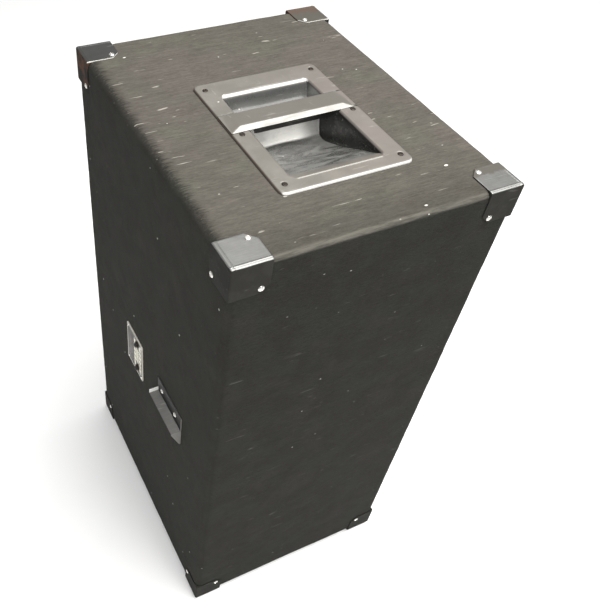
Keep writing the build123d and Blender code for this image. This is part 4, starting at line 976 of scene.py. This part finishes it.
gxs = spread([(FX0, FX0 + 13, 26), (FX0 + 13, -165, 4), (-165, -156, 22), (-156, -143, 22), (-143, -32, 38), (-32, 11, 46), (11, 15, 8), (15, 44, 11), (44, 72, 38), (72, FX1 - 13, 5), (FX1 - 13, FX1, 26)])
gys = spread([(FY0, FY0 + 13, 26), (FY0 + 13, -84.5, 5), (-84.5, -66, 34), (-66, 53, 44), (53, 71.5, 34), (71.5, FY1 - 13, 5), (FY1 - 13, FY1, 26)])
Xg, Yg = np.meshgrid(gxs, gys, indexing="ij")
X, Y = Xg.copy(), Yg.copy()
c = 13.0
edge_d = np.full(X.shape, 1e9)
for sx, x_c in ((-1, FX0 + c), (1, FX1 - c)):
    for sy, y_c in ((-1, FY0 + c), (1, FY1 - c)):
        u, w = sx * (Xg - x_c) / c, sy * (Yg - y_c) / c
        k = (u >= 0) & (w >= 0) & ((u > 0) | (w > 0))
        m_ = np.maximum(u, w)
        with np.errstate(divide="ignore", invalid="ignore"):
            p = np.where(u >= w, (math.pi / 4) * np.where(u > 0, w / np.where(u == 0, 1, u), 0), math.pi / 2 - (math.pi / 4) * np.where(w > 0, u / np.where(w == 0, 1, w), 0))
        X = np.where(k, x_c + sx * c * m_ * np.cos(p), X)
        Y = np.where(k, y_c + sy * c * m_ * np.sin(p), Y)
        edge_d = np.where(k, c * (1 - m_), edge_d)
side = np.minimum.reduce([Xg - FX0, FX1 - Xg, Yg - FY0, FY1 - Yg])
edge_d = np.minimum(edge_d, np.where(edge_d < 1e8, edge_d, side))
# distance inside the mouth's rounded outline
rc = 11.0
qx = np.abs(X - (MX0 + MX1) / 2) - ((MX1 - MX0) / 2 - rc)
qy = np.abs(Y - MYC) - (MHY - rc)
sdf = np.minimum(np.maximum(qx, qy), 0) + np.hypot(np.maximum(qx, 0), np.maximum(qy, 0)) - rc
ins = -sdf
wall = np.where(ins > 0, ins * 6.2, 0.0)
lipr = 3.6
wall = np.where((ins > -lipr) & (ins < lipr), lipr * 6.2 * ((ins + lipr) / (2 * lipr)) ** 2.6, wall)
fl = smooth_profile(X) + 1.2 * np.clip(noise(np.stack([X.ravel(), Y.ravel(), 0 * X.ravel()], 1), (0.035, 0.03, 1), 7).reshape(X.shape), -1, 1) * smooth(smooth_profile(X), 8, 30)
k_ = 9.0 * smooth(fl, 4, 30) + 0.8
h_ = np.clip(0.5 + 0.5 * (wall - fl) / k_, 0, 1)
depth = wall * (1 - h_) + fl * h_ - k_ * h_ * (1 - h_)
depth = np.where(ins > -lipr, np.maximum(depth, 0), 0)
# end lips: the slope starts with a rolled lip of its own
rr_ = 5.6
roll = np.where(edge_d < rr_, rr_ - np.sqrt(np.maximum(0, rr_ ** 2 - (rr_ - np.clip(edge_d, 0, rr_)) ** 2)), 0.0)
swell = 0.25 * noise(np.stack([X.ravel(), Y.ravel(), 0 * X.ravel()], 1), (0.02, 0.02, 1), 3).reshape(X.shape)
Zs = ZT - depth - roll * (ZT - 1016.1) / rr_ + swell * smooth(edge_d, 2, 10) * (depth < 0.3)
bead_y = smooth(np.abs(Y - MYC), 74, 68)
Zs = Zs + 0.95 * np.exp(-((X - (MX0 - 3.2)) / 1.5) ** 2) * bead_y + 0.35 * np.exp(-((np.abs(Y - MYC) - MHY - 1.5) / 1.5) ** 2) * smooth(X, -160, -154) * smooth(X, -38, -44)
Zs = Zs - 0.9 * np.exp(-((X - 13.0) / 0.9) ** 2) * (np.abs(Y + 3.5) < 104) * (depth < 0.2)
for hx_, hy_ in HH:      # dimples under the screws
    dd = np.hypot(X - hx_, Y - hy_)
    Zs = Zs - 0.8 * smooth(dd, 7.2, 4.8)
gx_, gy_ = X.shape
verts = [(X[i, j] * MM, Y[i, j] * MM, Zs[i, j] * MM) for i in range(gx_) for j in range(gy_)]
faces = []
for i in range(gx_ - 1):
    for j in range(gy_ - 1):
        a = i * gy_ + j
        faces.append((a, a + gy_, a + gy_ + 1, a + 1))
dish = mesh_object("handle_dish_pressing", verts, faces, 50)
m = dish.modifiers.new("solid", "SOLIDIFY")
m.thickness, m.offset, m.use_even_offset = 0.0013, -1.0, False
bake_modifiers(dish, 50)
finish_piece(dish, "handle_dish")

# strap: pressed bar bridging the recess; its near side and both ends slope down, the near edge is turned under
SXN, SXF, SYC, SYH = -35.2, 12.0, -3.5, 105.5
sxs = [SXF, SXF - 0.6, SXF - 1.6, 8, 4, 0, -4, -8, -12, -16, -20, -22.5, -24, -25.2, -26.4, -27.6, -29, -31, -33, -34.4, SXN]
sys_ = list(spread([(-SYH, -SYH + 2, 4), (-SYH + 2, -78, 24), (-78, 78, 40), (78, SYH - 2, 24), (SYH - 2, SYH, 4)]))
drop = [(0.15, -0.7), (0.5, -1.7), (1.0, -3.2), (1.5, -5.6), (1.8, -8.0), (2.0, -10.2)]
nrow = len(sxs) + len(drop)
verts, faces = [], []
for yy in sys_:
    a = abs(yy)
    end = min(1.0, max(0.0, (SYH - a) / 19.0))
    open_ = float(smooth(abs(yy + SYC - MYC), 72.5, 67.0))
    for x in sxs:
        near = min(1.0, (x - SXN) / 8.6)
        k = 0.16
        h = min(1.0, max(0.0, 0.5 + 0.5 * (end - near) / k))
        m_ = end * (1 - h) + near * h - k * h * (1 - h)
        m_ = m_ - 0.08 * math.exp(-((m_ - 1.0) / 0.10) ** 2)
        far = min(1.0, max(0.0, (x + 26.0) / 38.0))
        z = 1019.75 + (5.9 - 4.9 * far) * max(0.0, m_)
        z -= 0.8 * math.exp(-((x - SXF) / 0.5) ** 2)
        y2 = yy
        if a > SYH - 2:      # the four corners are left as they are
            y2 = yy
        verts.append((x * MM, (y2 + SYC) * MM, z * MM))
    for dx, dz in drop:
        f_ = 0.03 + 0.97 * open_
        verts.append(((SXN + dx * f_) * MM, (yy + SYC) * MM, (1019.75 + dz * f_) * MM))
for i in range(len(sys_) - 1):
    for k in range(nrow - 1):
        faces.append((i * nrow + k, i * nrow + k + 1, (i + 1) * nrow + k + 1, (i + 1) * nrow + k))
strap = mesh_object("handle_strap_bar", verts, faces, 40)
bm = bmesh.new()
bm.from_mesh(strap.data)
bmesh.ops.recalc_face_normals(bm, faces=bm.faces)
if sum(f_.normal.z for f_ in bm.faces) < 0:
    bmesh.ops.reverse_faces(bm, faces=bm.faces)
bm.to_mesh(strap.data)
bm.free()
m = strap.modifiers.new("solid", "SOLIDIFY")
m.thickness, m.offset, m.use_even_offset = 0.0013, -1.0, False
bake_modifiers(strap, 40)
finish_piece(strap, "handle_strap")

# ------------------------------------------------------------------ corner protectors, plate, ledge
def protector(sx, sy, st):
    """One pressed corner, three legs, tight bends with a bead beside each of the top leg's two bends; its inside
    follows the carpeted edge.
    """
    LB, LA, LC, clip, r, Ri, T = 55.5, 59.5, 55.5, 14.0, 3.2, 14.5, 1.5
    head = [0, 0.4, 0.9, 1.5, 2.2, 3.2, 4.0, 4.6, 5.2, 5.8, 6.4, 7.0, 7.8, 9, 12, 15, 18, 21.5, 26, 30, 34, 38]
    U = head + [LB - clip, 44, 46.5, 49, 51.5, 53.5, LB]
    V = head + [42, LA - clip, 48, 50.5, 53, 55.5, 57.5, LA]
    W = head + [LC - clip, 44, 46.5, 49, 51.5, 53.5, LC]

    def lim(a, L, other):
        return other if a <= L - clip else other - (a - (L - clip))
    P, faces = [], []

    def grid(A, B, put, keep=lambda a, b: True):
        b0 = len(P)
        for a in A:
            for b in B:
                P.append(put(a, b))
        nb = len(B)
        for i in range(len(A) - 1):
            for j in range(nb - 1):
                if keep((A[i] + A[i + 1]) / 2, (B[j] + B[j + 1]) / 2):
                    q = b0 + i * nb + j
                    faces.append((q, q + nb, q + nb + 1, q + 1))
    grid(U, V, lambda u, v: (u, v * lim(u, LB, LA) / LA, 0.0))
    grid(V, W, lambda v, w: (0.0, v, w * lim(v, LA, LC) / LC))
    if sy > 0:
        grid(U, W, lambda u, w: (u, 0.0, w * lim(u, LB, LC) / LC))
    else:
        grid(U, W, lambda u, w: (u, 0.0, w), lambda u, w: u < 21.5 or w < 21.5)
    P = np.array(P)
    bead = np.zeros(len(P))
    for ax in range(3):
        for other in range(3):
            if other != ax:
                on = P[:, ax] < 1e-9
                d = P[:, other]
                if ax == 2:
                    bead = np.where(on, np.maximum(bead, 0.5 * np.exp(-((d - 5.6) / 1.0) ** 2)), bead)
    q = np.maximum(P, r)
    d = P - q
    d /= np.maximum(np.linalg.norm(d, axis=1), 1e-9)[:, None]
    outer = q + d * r + d * bead[:, None]
    q2 = np.maximum(P, Ri)
    d2 = P - q2
    d2 /= np.maximum(np.linalg.norm(d2, axis=1), 1e-9)[:, None]
    inner = q2 + d2 * (Ri - T)
    bm = bmesh.new()
    lay = bm.verts.layers.int.new("pair")
    ov = [bm.verts.new(p) for p in outer]
    for f_ in faces:
        bm.faces.new([ov[i] for i in f_])
    iv = [bm.verts.new(p) for p in inner]
    for i, (a_, b_) in enumerate(zip(ov, iv)):
        a_[lay], b_[lay] = i + 1, -(i + 1)
    for f_ in faces:
        bm.faces.new([iv[i] for i in reversed(f_)])
    bmesh.ops.delete(bm, geom=[x for x in bm.verts if not x.link_faces], context="VERTS")
    bmesh.ops.remove_doubles(bm, verts=[x for x in bm.verts if x[lay] > 0], dist=1e-4)
    bmesh.ops.remove_doubles(bm, verts=[x for x in bm.verts if x[lay] < 0], dist=1e-4)
    bm.verts.ensure_lookup_table()
    down = [x for x in bm.verts if x[lay] < 0]
    where = {}
    for x in down:
        where[tuple(round(c_, 3) for c_ in x.co)] = x
    for e in [e for e in bm.edges if len(e.link_faces) == 1 and e.verts[0][lay] > 0]:
        a_, b_ = e.verts
        ka = tuple(round(c_, 3) for c_ in inner[a_[lay] - 1])
        kb = tuple(round(c_, 3) for c_ in inner[b_[lay] - 1])
        if ka in where and kb in where and where[ka] is not where[kb]:
            bm.faces.new((a_, b_, where[kb], where[ka]))
    for x in bm.verts:
        u, v, w = x.co
        zt = 1017.5 - w if st > 0 else 6.5 + w
        x.co = Vector((sx * (287.5 - u), sy * (230.0 - v), zt)) * MM
    bmesh.ops.recalc_face_normals(bm, faces=bm.faces)
    me = bpy.data.meshes.new("corner")
    bm.to_mesh(me)
    bm.free()
    ob = link(bpy.data.objects.new("corner", me))
    m_ = ob.modifiers.new("bevel", "BEVEL")
    m_.width, m_.segments, m_.limit_method, m_.angle_limit = 0.5 * MM, 2, "ANGLE", math.radians(50)
    bake_modifiers(ob, 50)
    return ob


for tag, sy in (("rear", 1), ("front", -1)):
    obs = [protector(sx, sy, st) for sx in (-1, 1) for st in (-1, 1)]
    V_, F_ = [], []
    for o in obs:
        b_ = len(V_)
        V_ += [tuple(q.co) for q in o.data.vertices]
        F_ += [tuple(b_ + i for i in p.vertices) for p in o.data.polygons]
        me = o.data
        bpy.data.objects.remove(o)
        bpy.data.meshes.remove(me)
    finish_piece(mesh_object(f"corner_pressings_{tag}", V_, F_, 50), f"corner_protectors_{tag}")
refine("jack_plate", 0.6, 3, 40)
refine("rear_ledge", 0.7, 3, 40)


def jack_bush(z):
    return lathe("jack_bush", [(3.2, -3), (3.2, 5.9)] + arc(3.9, 6.3, 0.7, 180, 90, 4) + arc(4.05, 6.3, 0.7, 90, 0, 4) +
                 [p for i in range(5) for p in ((4.75, 5.6 - i * 0.6), (4.45, 5.3 - i * 0.6))] + [(4.75, 2.4), (4.75, -3)], 0.035, z, 64, y0=0.2285)


def join(name, obs):
    V, F = [], []
    for o in obs:
        b = len(V)
        V += [tuple(v.co) for v in o.data.vertices]
        F += [tuple(b + i for i in p.vertices) for p in o.data.polygons]
        me = o.data
        bpy.data.objects.remove(o)
        bpy.data.meshes.remove(me)
    return mesh_object(name, V, F, 35)


finish_piece(join("jack_bushes", [jack_bush(z) for z in (0.529, 0.458)]), "jack_bushings", material=MAT["black_plastic"])


def hex_nut(cx_, cz_, y_, rin, rout, h):
    verts, faces = [], []
    seg = 72
    prof = [(0, 0.0), (0, h), (1, h), (1, 0.0)]
    for i in range(seg):
        a = 2 * math.pi * i / seg
        hexr = rout * math.cos(math.pi / 6) / math.cos((a % (math.pi / 3)) - math.pi / 6)
        cut = max(0.0, hexr - rout * 0.93)
        ring = [(rin, 0.0), (rin, h - 0.3), (rin + 0.3, h), (rout * 0.86, h), (min(hexr, rout * 0.95), h - 0.12), (hexr, h - 0.35 - cut), (hexr, 0.1), (hexr - 0.15, 0.0)]
        for r, s in ring:
            verts.append((cx_ + r * math.cos(a) * MM, y_ + s * MM, cz_ + r * math.sin(a) * MM))
    m_ = 8
    for i in range(seg):
        j = (i + 1) % seg
        for k in range(m_):
            l = (k + 1) % m_
            faces.append((i * m_ + k, i * m_ + l, j * m_ + l, j * m_ + k))
    ob = mesh_object("nut", verts, faces, 30)
    bm = bmesh.new()
    bm.from_mesh(ob.data)
    bmesh.ops.recalc_face_normals(bm, faces=bm.faces)
    bm.to_mesh(ob.data)
    bm.free()
    return ob


finish_piece(join("jack_hex_nuts", [hex_nut(0.035, z, 0.2305, 4.75, 7.5, 2.6) for z in (0.529, 0.458)]), "jack_nuts", material=MAT["black_screw"])

# ------------------------------------------------------------------ feet
ft_ = []
for sx in (-1, 1):
    for sy in (-1, 1):
        prof = [(2.2, 4.0), (6.2, 4.0), (6.2, 0.6)] + arc(6.8, 0.6, 0.6, 180, 270, 3) + [(9, 0.0), (9.4, 0.5), (11.6, 0.5), (12, 0.0)] + arc(15.7, 1.5, 1.5, 270, 350, 5) + [(18.3, 4.2), (19.6, 7.0)] + arc(19.2, 7.4, 0.6, -10, 90, 4) + [(2.2, 8.0)]
        ft_.append(lathe("foot", prof, sx * 0.205, sy * 0.150, 72, axis="z", y0=0.0))
finish_piece(join("rubber_feet_turned", ft_), "rubber_feet")

# ------------------------------------------------------------------ grille: folded steel sheet, punched with hexagons
GX, G0, G1 = 0.261, 0.033, 0.991
gc = (G0 + G1) / 2
gh = (G1 - G0) / 2
loops = []
for d, y, r in [(1.5, -208.6, 4.5), (1.5, -219.3, 4.5), (2.4, -220.3, 3.8), (15.0, -220.5, 1.2), (15.0, -221.9, 1.2), (3.0, -222.0, 4.2), (1.3, -221.6, 5.2), (0.4, -220.7, 5.8), (0.0, -219.4, 6.0), (0.0, -208.6, 6.0), (0.5, -208.5, 5.6)]:
    loops.append([(px, y * MM, gc + pz) for px, pz in rr_loop(GX - d * MM, gh - d * MM, r * MM, 60, 110, 8)])
m_ = len(loops[0])
verts = [p for l in loops for p in l]
faces = []
for i in range(len(loops)):
    j = (i + 1) % len(loops)
    for k in range(m_):
        l = (k + 1) % m_
        faces.append((i * m_ + k, i * m_ + l, j * m_ + l, j * m_ + k))
P_ = 8.6 * MM
hole = 3.85 * MM
ya, yb = -0.22185, -0.22065
rows_ = int((2 * gh - 0.016) / (P_ * math.sqrt(3) / 2))
ix = int((2 * GX - 0.016) / P_)
outer_r = P_ / math.sqrt(3)
corner_id = {}


def vid(x, y, z):
    key = (round(x * 2e4), round(y * 1e5), round(z * 2e4))
    if key not in corner_id:
        corner_id[key] = len(verts)
        verts.append((x, y, z))
    return corner_id[key]


for rr in range(rows_):
    z = gc + (rr - (rows_ - 1) / 2) * P_ * math.sqrt(3) / 2
    for cc in range(ix):
        x = (cc - (ix - 1) / 2 + (0.5 if rr % 2 else 0.0)) * P_
        if abs(x) > GX - 0.0115 or abs(z - gc) > gh - 0.0115:
            continue
        solid_ = any((x - a * MM) ** 2 + (z - b * MM) ** 2 < (9.6 * MM) ** 2 for a, b in GS)
        of, ob_, hf, hb = [], [], [], []
        for k in range(6):
            a = math.radians(60 * k + 30)
            of.append(vid(x + outer_r * math.cos(a), ya, z + outer_r * math.sin(a)))
            ob_.append(vid(x + outer_r * math.cos(a), yb, z + outer_r * math.sin(a)))
        if solid_:
            faces.append(tuple(of))
            faces.append(tuple(reversed(ob_)))
            continue
        for k in range(6):
            a = math.radians(60 * k + 30)
            hf.append(len(verts)); verts.append((x + hole * math.cos(a), ya, z + hole * math.sin(a)))
            hb.append(len(verts)); verts.append((x + hole * math.cos(a), yb, z + hole * math.sin(a)))
        for k in range(6):
            l = (k + 1) % 6
            faces.append((of[k], of[l], hf[l], hf[k]))
            faces.append((hf[k], hf[l], hb[l], hb[k]))
            faces.append((ob_[l], ob_[k], hb[k], hb[l]))
grille = mesh_object("grille_mesh", verts, faces, 30)
bm = bmesh.new()
bm.from_mesh(grille.data)
bmesh.ops.recalc_face_normals(bm, faces=bm.faces)
bm.to_mesh(grille.data)
bm.free()
finish_piece(grille, "grille")


# ------------------------------------------------------------------ woofer
def ribs(r0, s0, r1, s1, n, amp, wave):
    out = []
    for i in range(n + 1):
        t_ = i / n
        r, s = r0 + (r1 - r0) * t_, s0 + (s1 - s0) * t_
        k = amp * max(0.0, math.sin(math.pi * min(1, max(0, (t_ - 0.12) / 0.76)))) * math.sin(2 * math.pi * wave * t_)
        L = math.hypot(r1 - r0, s1 - s0)
        out.append((r + k * (s1 - s0) / L, s - k * (r1 - r0) / L))
    return out


cone_front = ribs(158.0, -3.6, 38.75, 66.6, 60, 0.42, 7)
cone_back = [(r - 0.62, s + 1.0) for r, s in reversed(cone_front)]
cone_back = [(max(38.75, r), s) for r, s in cone_back]
cone = lathe("woofer_cone_paper", [(163.0, -2.9), (163.0, -3.9), (160.5, -4.0)] + cone_front + cone_back + [(159.4, -2.8)], 0, 0.505, 144)
finish_piece(cone, "woofer_cone")
cap = []
for i in range(18):
    a = math.radians(62 * (17 - i) / 17)
    cap.append((57.0 * math.sin(a) * 0.9934, 40.0 + 57.0 * (1 - math.cos(a)) * 0.62))
cap = [(r, s) for r, s in cap if r < 49.5]
front = [(50.2, 57.6)] + cap
back = [(r * 0.975, s + 0.9) for r, s in reversed(front) if r > 0.01]
capo = lathe("woofer_dust_dome", front[:-1] + [(0.0, cap[-1][1])] + [(0.0, cap[-1][1] + 0.9)] + back, 0, 0.505, 96)
finish_piece(capo, "woofer_dust_cap")


def wedge_ring(name, node, pts, slot, parts=24):
    obs = []
    for i in range(parts):
        a0, a1 = 360.0 * i / parts, 360.0 * (i + 1) / parts
        o = lathe(f"{name}_{i:02d}", pts, 0, 0.505, 8, a0=a0, a1=a1)
        # the end caps go, so that neighbours meet as one skin
        bm = bmesh.new()
        bm.from_mesh(o.data)
        big = [q for q in bm.faces if len(q.verts) > 6]
        bmesh.ops.delete(bm, geom=big, context="FACES_ONLY")
        bm.to_mesh(o.data)
        bm.free()
        o.data.shade_smooth()
        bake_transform(o)
        set_material(o, MAT[slot])
        obs.append(o)
    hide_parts(node)
    return obs


def roll(r0, r1, n, base, amp, hump):
    return [(r0 + (r1 - r0) * i / n, base - amp * abs(math.sin(math.pi * hump * i / n)) ** 1.3) for i in range(n + 1)]


top_ = [(158.2, -4.85)] + roll(163.2, 172.8, 20, -4.8, 3.9, 2) + [(177.6, -4.8)]
bot_ = [(177.6, -4.05)] + [(r, s + 0.75) for r, s in reversed(roll(163.2, 172.8, 20, -4.8, 3.9, 2))] + [(158.2, -4.05)]
wedge_ring("woofer_surround", "woofer_surround", top_ + bot_, "cloth_edge")
sp_t = [(38.8, 79.9)] + [(42 + 46.0 * i / 64, 81.2 + (-1.7 * math.cos(2 * math.pi * 4.5 * i / 64)) + 1.2 * i / 64) for i in range(65)] + [(91.7, 83.2)]
sp_b = [(r, s + 0.7) for r, s in reversed(sp_t)]
wedge_ring("woofer_spider", "woofer_spider", sp_t + sp_b, "spider_cloth")
for nme, bv in (("woofer_frame", 0.8), ("woofer_gasket", 0.5), ("woofer_top_plate", 0.6), ("woofer_magnet", 1.2), ("woofer_pole_plate", 1.0), ("woofer_tee_nuts", 0.25),
                ("hf_front_plate", 0.7), ("hf_magnet", 0.9), ("hf_gap_plate", 0.6), ("hf_rear_cover", 1.0), ("hf_diaphragm_ring", 0.4), ("hf_bolts", 0.5),
                ("crossover_board", 0.2), ("crossover_capacitors", 1.2), ("crossover_resistors", 0.6), ("crossover_inductors", 1.2), ("terminal_strips", 0.5), ("jack_bodies", 0.6), ("grille_spacers", 0.5)):
    refine(nme, bv)

# ------------------------------------------------------------------ horn
ss = [-6.2, -2.0, 8, 20, 34, 48, 62, 78, 94, 110, 128, 146, 164, 182, 198, 210, 216]
hw = np.interp(ss, [-6.5, 60, 150, 216], [212, 150, 55, 18])
hh = np.interp(ss, [-6.5, 60, 150, 216], [92, 65, 37, 18])
hw = np.convolve(np.pad(hw, 1, mode="edge"), [0.2, 0.6, 0.2], mode="valid"); hh = np.convolve(np.pad(hh, 1, mode="edge"), [0.2, 0.6, 0.2], mode="valid")
hw[0], hh[0], hw[-1], hh[-1] = 211.5, 91.5, 18.0, 18.0
rows2 = []
for i in range(len(ss) - 1, 0, -1):
    k = (ss[i] + 6.2) / 222.2
    rows2.append((hw[i], hh[i], ss[i], 14 * (1 - k) + 17.9 * k))
rows2 += [(212.6, 92.6, -3.4, 14), (214.2, 94.2, -5.0, 15), (216.5, 96.5, -5.9, 16), (220, 100, -6.0, 17), (236.0, 116.0, -6.0, 12), (238.6, 118.6, -5.6, 12), (239.7, 119.7, -4.5, 12), (240, 120, -3.0, 12), (240, 120, 0, 12), (216.0, 96.0, 0.0, 16)]
for i in range(1, len(ss)):
    k = (ss[i] + 6.2) / 222.2
    if ss[i] < 2:
        continue
    rows2.append((hw[i] + 4, hh[i] + 4, ss[i] if i < len(ss) - 1 else 206, 16 * (1 - k) + 21 * k))
rows2 += [(57.5, 57.5, 206.0, 57.4), (58, 58, 207, 57.9), (58, 58, 215.5, 57.9), (57.5, 57.5, 216.0, 57.4)]
verts, faces = [], []
for a, b, s, r in rows2:
    verts += [(px, BAF + s * MM, 0.845 + pz) for px, pz in rr_loop(a * MM, b * MM, min(r, b - 0.05, a - 0.05) * MM, 40, 24, 10)]
m_ = len(verts) // len(rows2)
for i in range(len(rows2)):
    j = (i + 1) % len(rows2)
    for k in range(m_):
        l = (k + 1) % m_
        faces.append((i * m_ + k, i * m_ + l, j * m_ + l, j * m_ + k))
horn = mesh_object("horn_moulding", verts, faces, 40)
bm = bmesh.new()
bm.from_mesh(horn.data)
bmesh.ops.recalc_face_normals(bm, faces=bm.faces)
bm.to_mesh(horn.data)
bm.free()
finish_piece(horn, "horn_flare")

# ------------------------------------------------------------------ ports
pts = [(55.0, 150.0), (55.0, 9.0)] + arc(61.0, 3.0, 6.0, 180, 270, 8) + [(68, -3.0)] + arc(68.6, -1.6, 1.4, 270, 360, 5) + [(70.0, -0.02), (58.0, -0.02), (58.0, 150.0)]
finish_piece(join("port_tubes_flared", [lathe("p", pts, sx * 0.130, 0.175, 96) for sx in (-1, 1)]), "port_tubes")


# ------------------------------------------------------------------ wadding
def batt(name, lo, hi, seed, flat_axis):
    lo, hi = np.array(lo) * MM, np.array(hi) * MM
    bm = bmesh.new()
    bmesh.ops.create_cube(bm, size=1.0)
    for v_ in bm.verts:
        v_.co = Vector([(lo[i] + hi[i]) / 2 + v_.co[i] * (hi[i] - lo[i]) for i in range(3)])
    me = bpy.data.meshes.new(name)
    bm.to_mesh(me)
    bm.free()
    ob = link(bpy.data.objects.new(name, me))
    r = ob.modifiers.new("remesh", "REMESH")
    r.mode, r.voxel_size = "VOXEL", 0.006
    bake_modifiers(ob, 180)
    me = ob.data
    co = np.zeros(len(me.vertices) * 3)
    me.vertices.foreach_get("co", co)
    co = co.reshape(-1, 3)
    mid, half = (lo + hi) / 2, (hi - lo) / 2
    inside = (hi - lo) * 0.5 - np.abs(co - mid)
    e = np.sort(np.delete(inside, flat_axis, axis=1), axis=1)[:, 0]
    squeeze = 1 - 0.42 * np.exp(-(np.clip(e, 0, 1) / 0.016) ** 2)
    puff = 0.80 + 0.16 * noise(co, (22, 22, 22), seed) + 0.05 * noise(co, (80, 80, 80), seed + 2)
    wall_side = hi[flat_axis] if abs(hi[flat_axis]) > abs(lo[flat_axis]) else lo[flat_axis]
    co[:, flat_axis] = wall_side + (co[:, flat_axis] - wall_side) * squeeze * np.clip(puff, 0.3, 1.0)
    for ax in range(3):
        if ax != flat_axis:
            pull = 1 - 0.012 * (1 + noise(co, (14, 14, 14), seed + 9 + ax))
            co[:, ax] = mid[ax] + (co[:, ax] - mid[ax]) * pull
    me.vertices.foreach_set("co", co.ravel())
    me.update()
    me.shade_smooth()
    return ob


first = None
for i, (lo, hi, ax) in enumerate([((-265, -150, 60), (-240, 180, 690), 0), ((-265, -120, 730), (-240, 180, 965), 0), ((240, -150, 60), (265, 180, 690), 0), ((240, -120, 730), (265, 180, 965), 0), ((-225, 182.5, 60), (225, 207.5, 430), 1)]):
    ob = batt(f"wadding_batt_{i}", lo, hi, 11 * i, ax)
    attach(ob, "cabinet")
    if i == 0:
        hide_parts("wadding")
    set_material(ob, MAT["wadding"])

# the baffle's ply is painted black, brushed on, thin enough for the grain to show
t = Tree("baffle_paint")
grain = t.noise(36.0, 6, 0.62, (1.0, 1.0, 0.06), (1, 1, 1), 0.9)
stroke = t.noise(160.0, 4, 0.6, (1.0, 1.0, 0.10), (2, 5, 1))
fine = t.noise(900.0, 3, 0.6)
pc = t.mix(t.ramp(t.math("ADD", t.mul(grain, 0.6), t.mul(stroke, 0.4)), 0.35, 0.65), (0.017, 0.017, 0.017), (0.031, 0.030, 0.028))
pc = t.mix(t.mul(t.ramp(t.noise(70.0, 5, 0.65, (1, 1, 1), (8, 1, 1)), 0.66, 0.74), 0.6), pc, (0.11, 0.085, 0.060))
BAFFLE_PAINT = t.done(pc, t.ramp(stroke, 0.3, 0.7, 0.50, 0.78), t.bump(t.math("ADD", t.mul(grain, 0.5), t.mul(stroke, 0.5)), 0.3, 0.0006, t.bump(fine, 0.15, 0.0002)), None, Specular_IOR_Level=0.35)

# ------------------------------------------------------------------ CAD nodes that stay: a real finish on each
for nme, ob in frame["nodes"].items():
    if not ob.hide_render:
        ob.data.materials.clear()
        ob.data.materials.append(BAFFLE_PAINT if nme == "front_baffle" else MAT[SLOT[nme]])
        ob.data.shade_smooth()
        ob.data.set_sharp_from_angle(angle=math.radians(30))
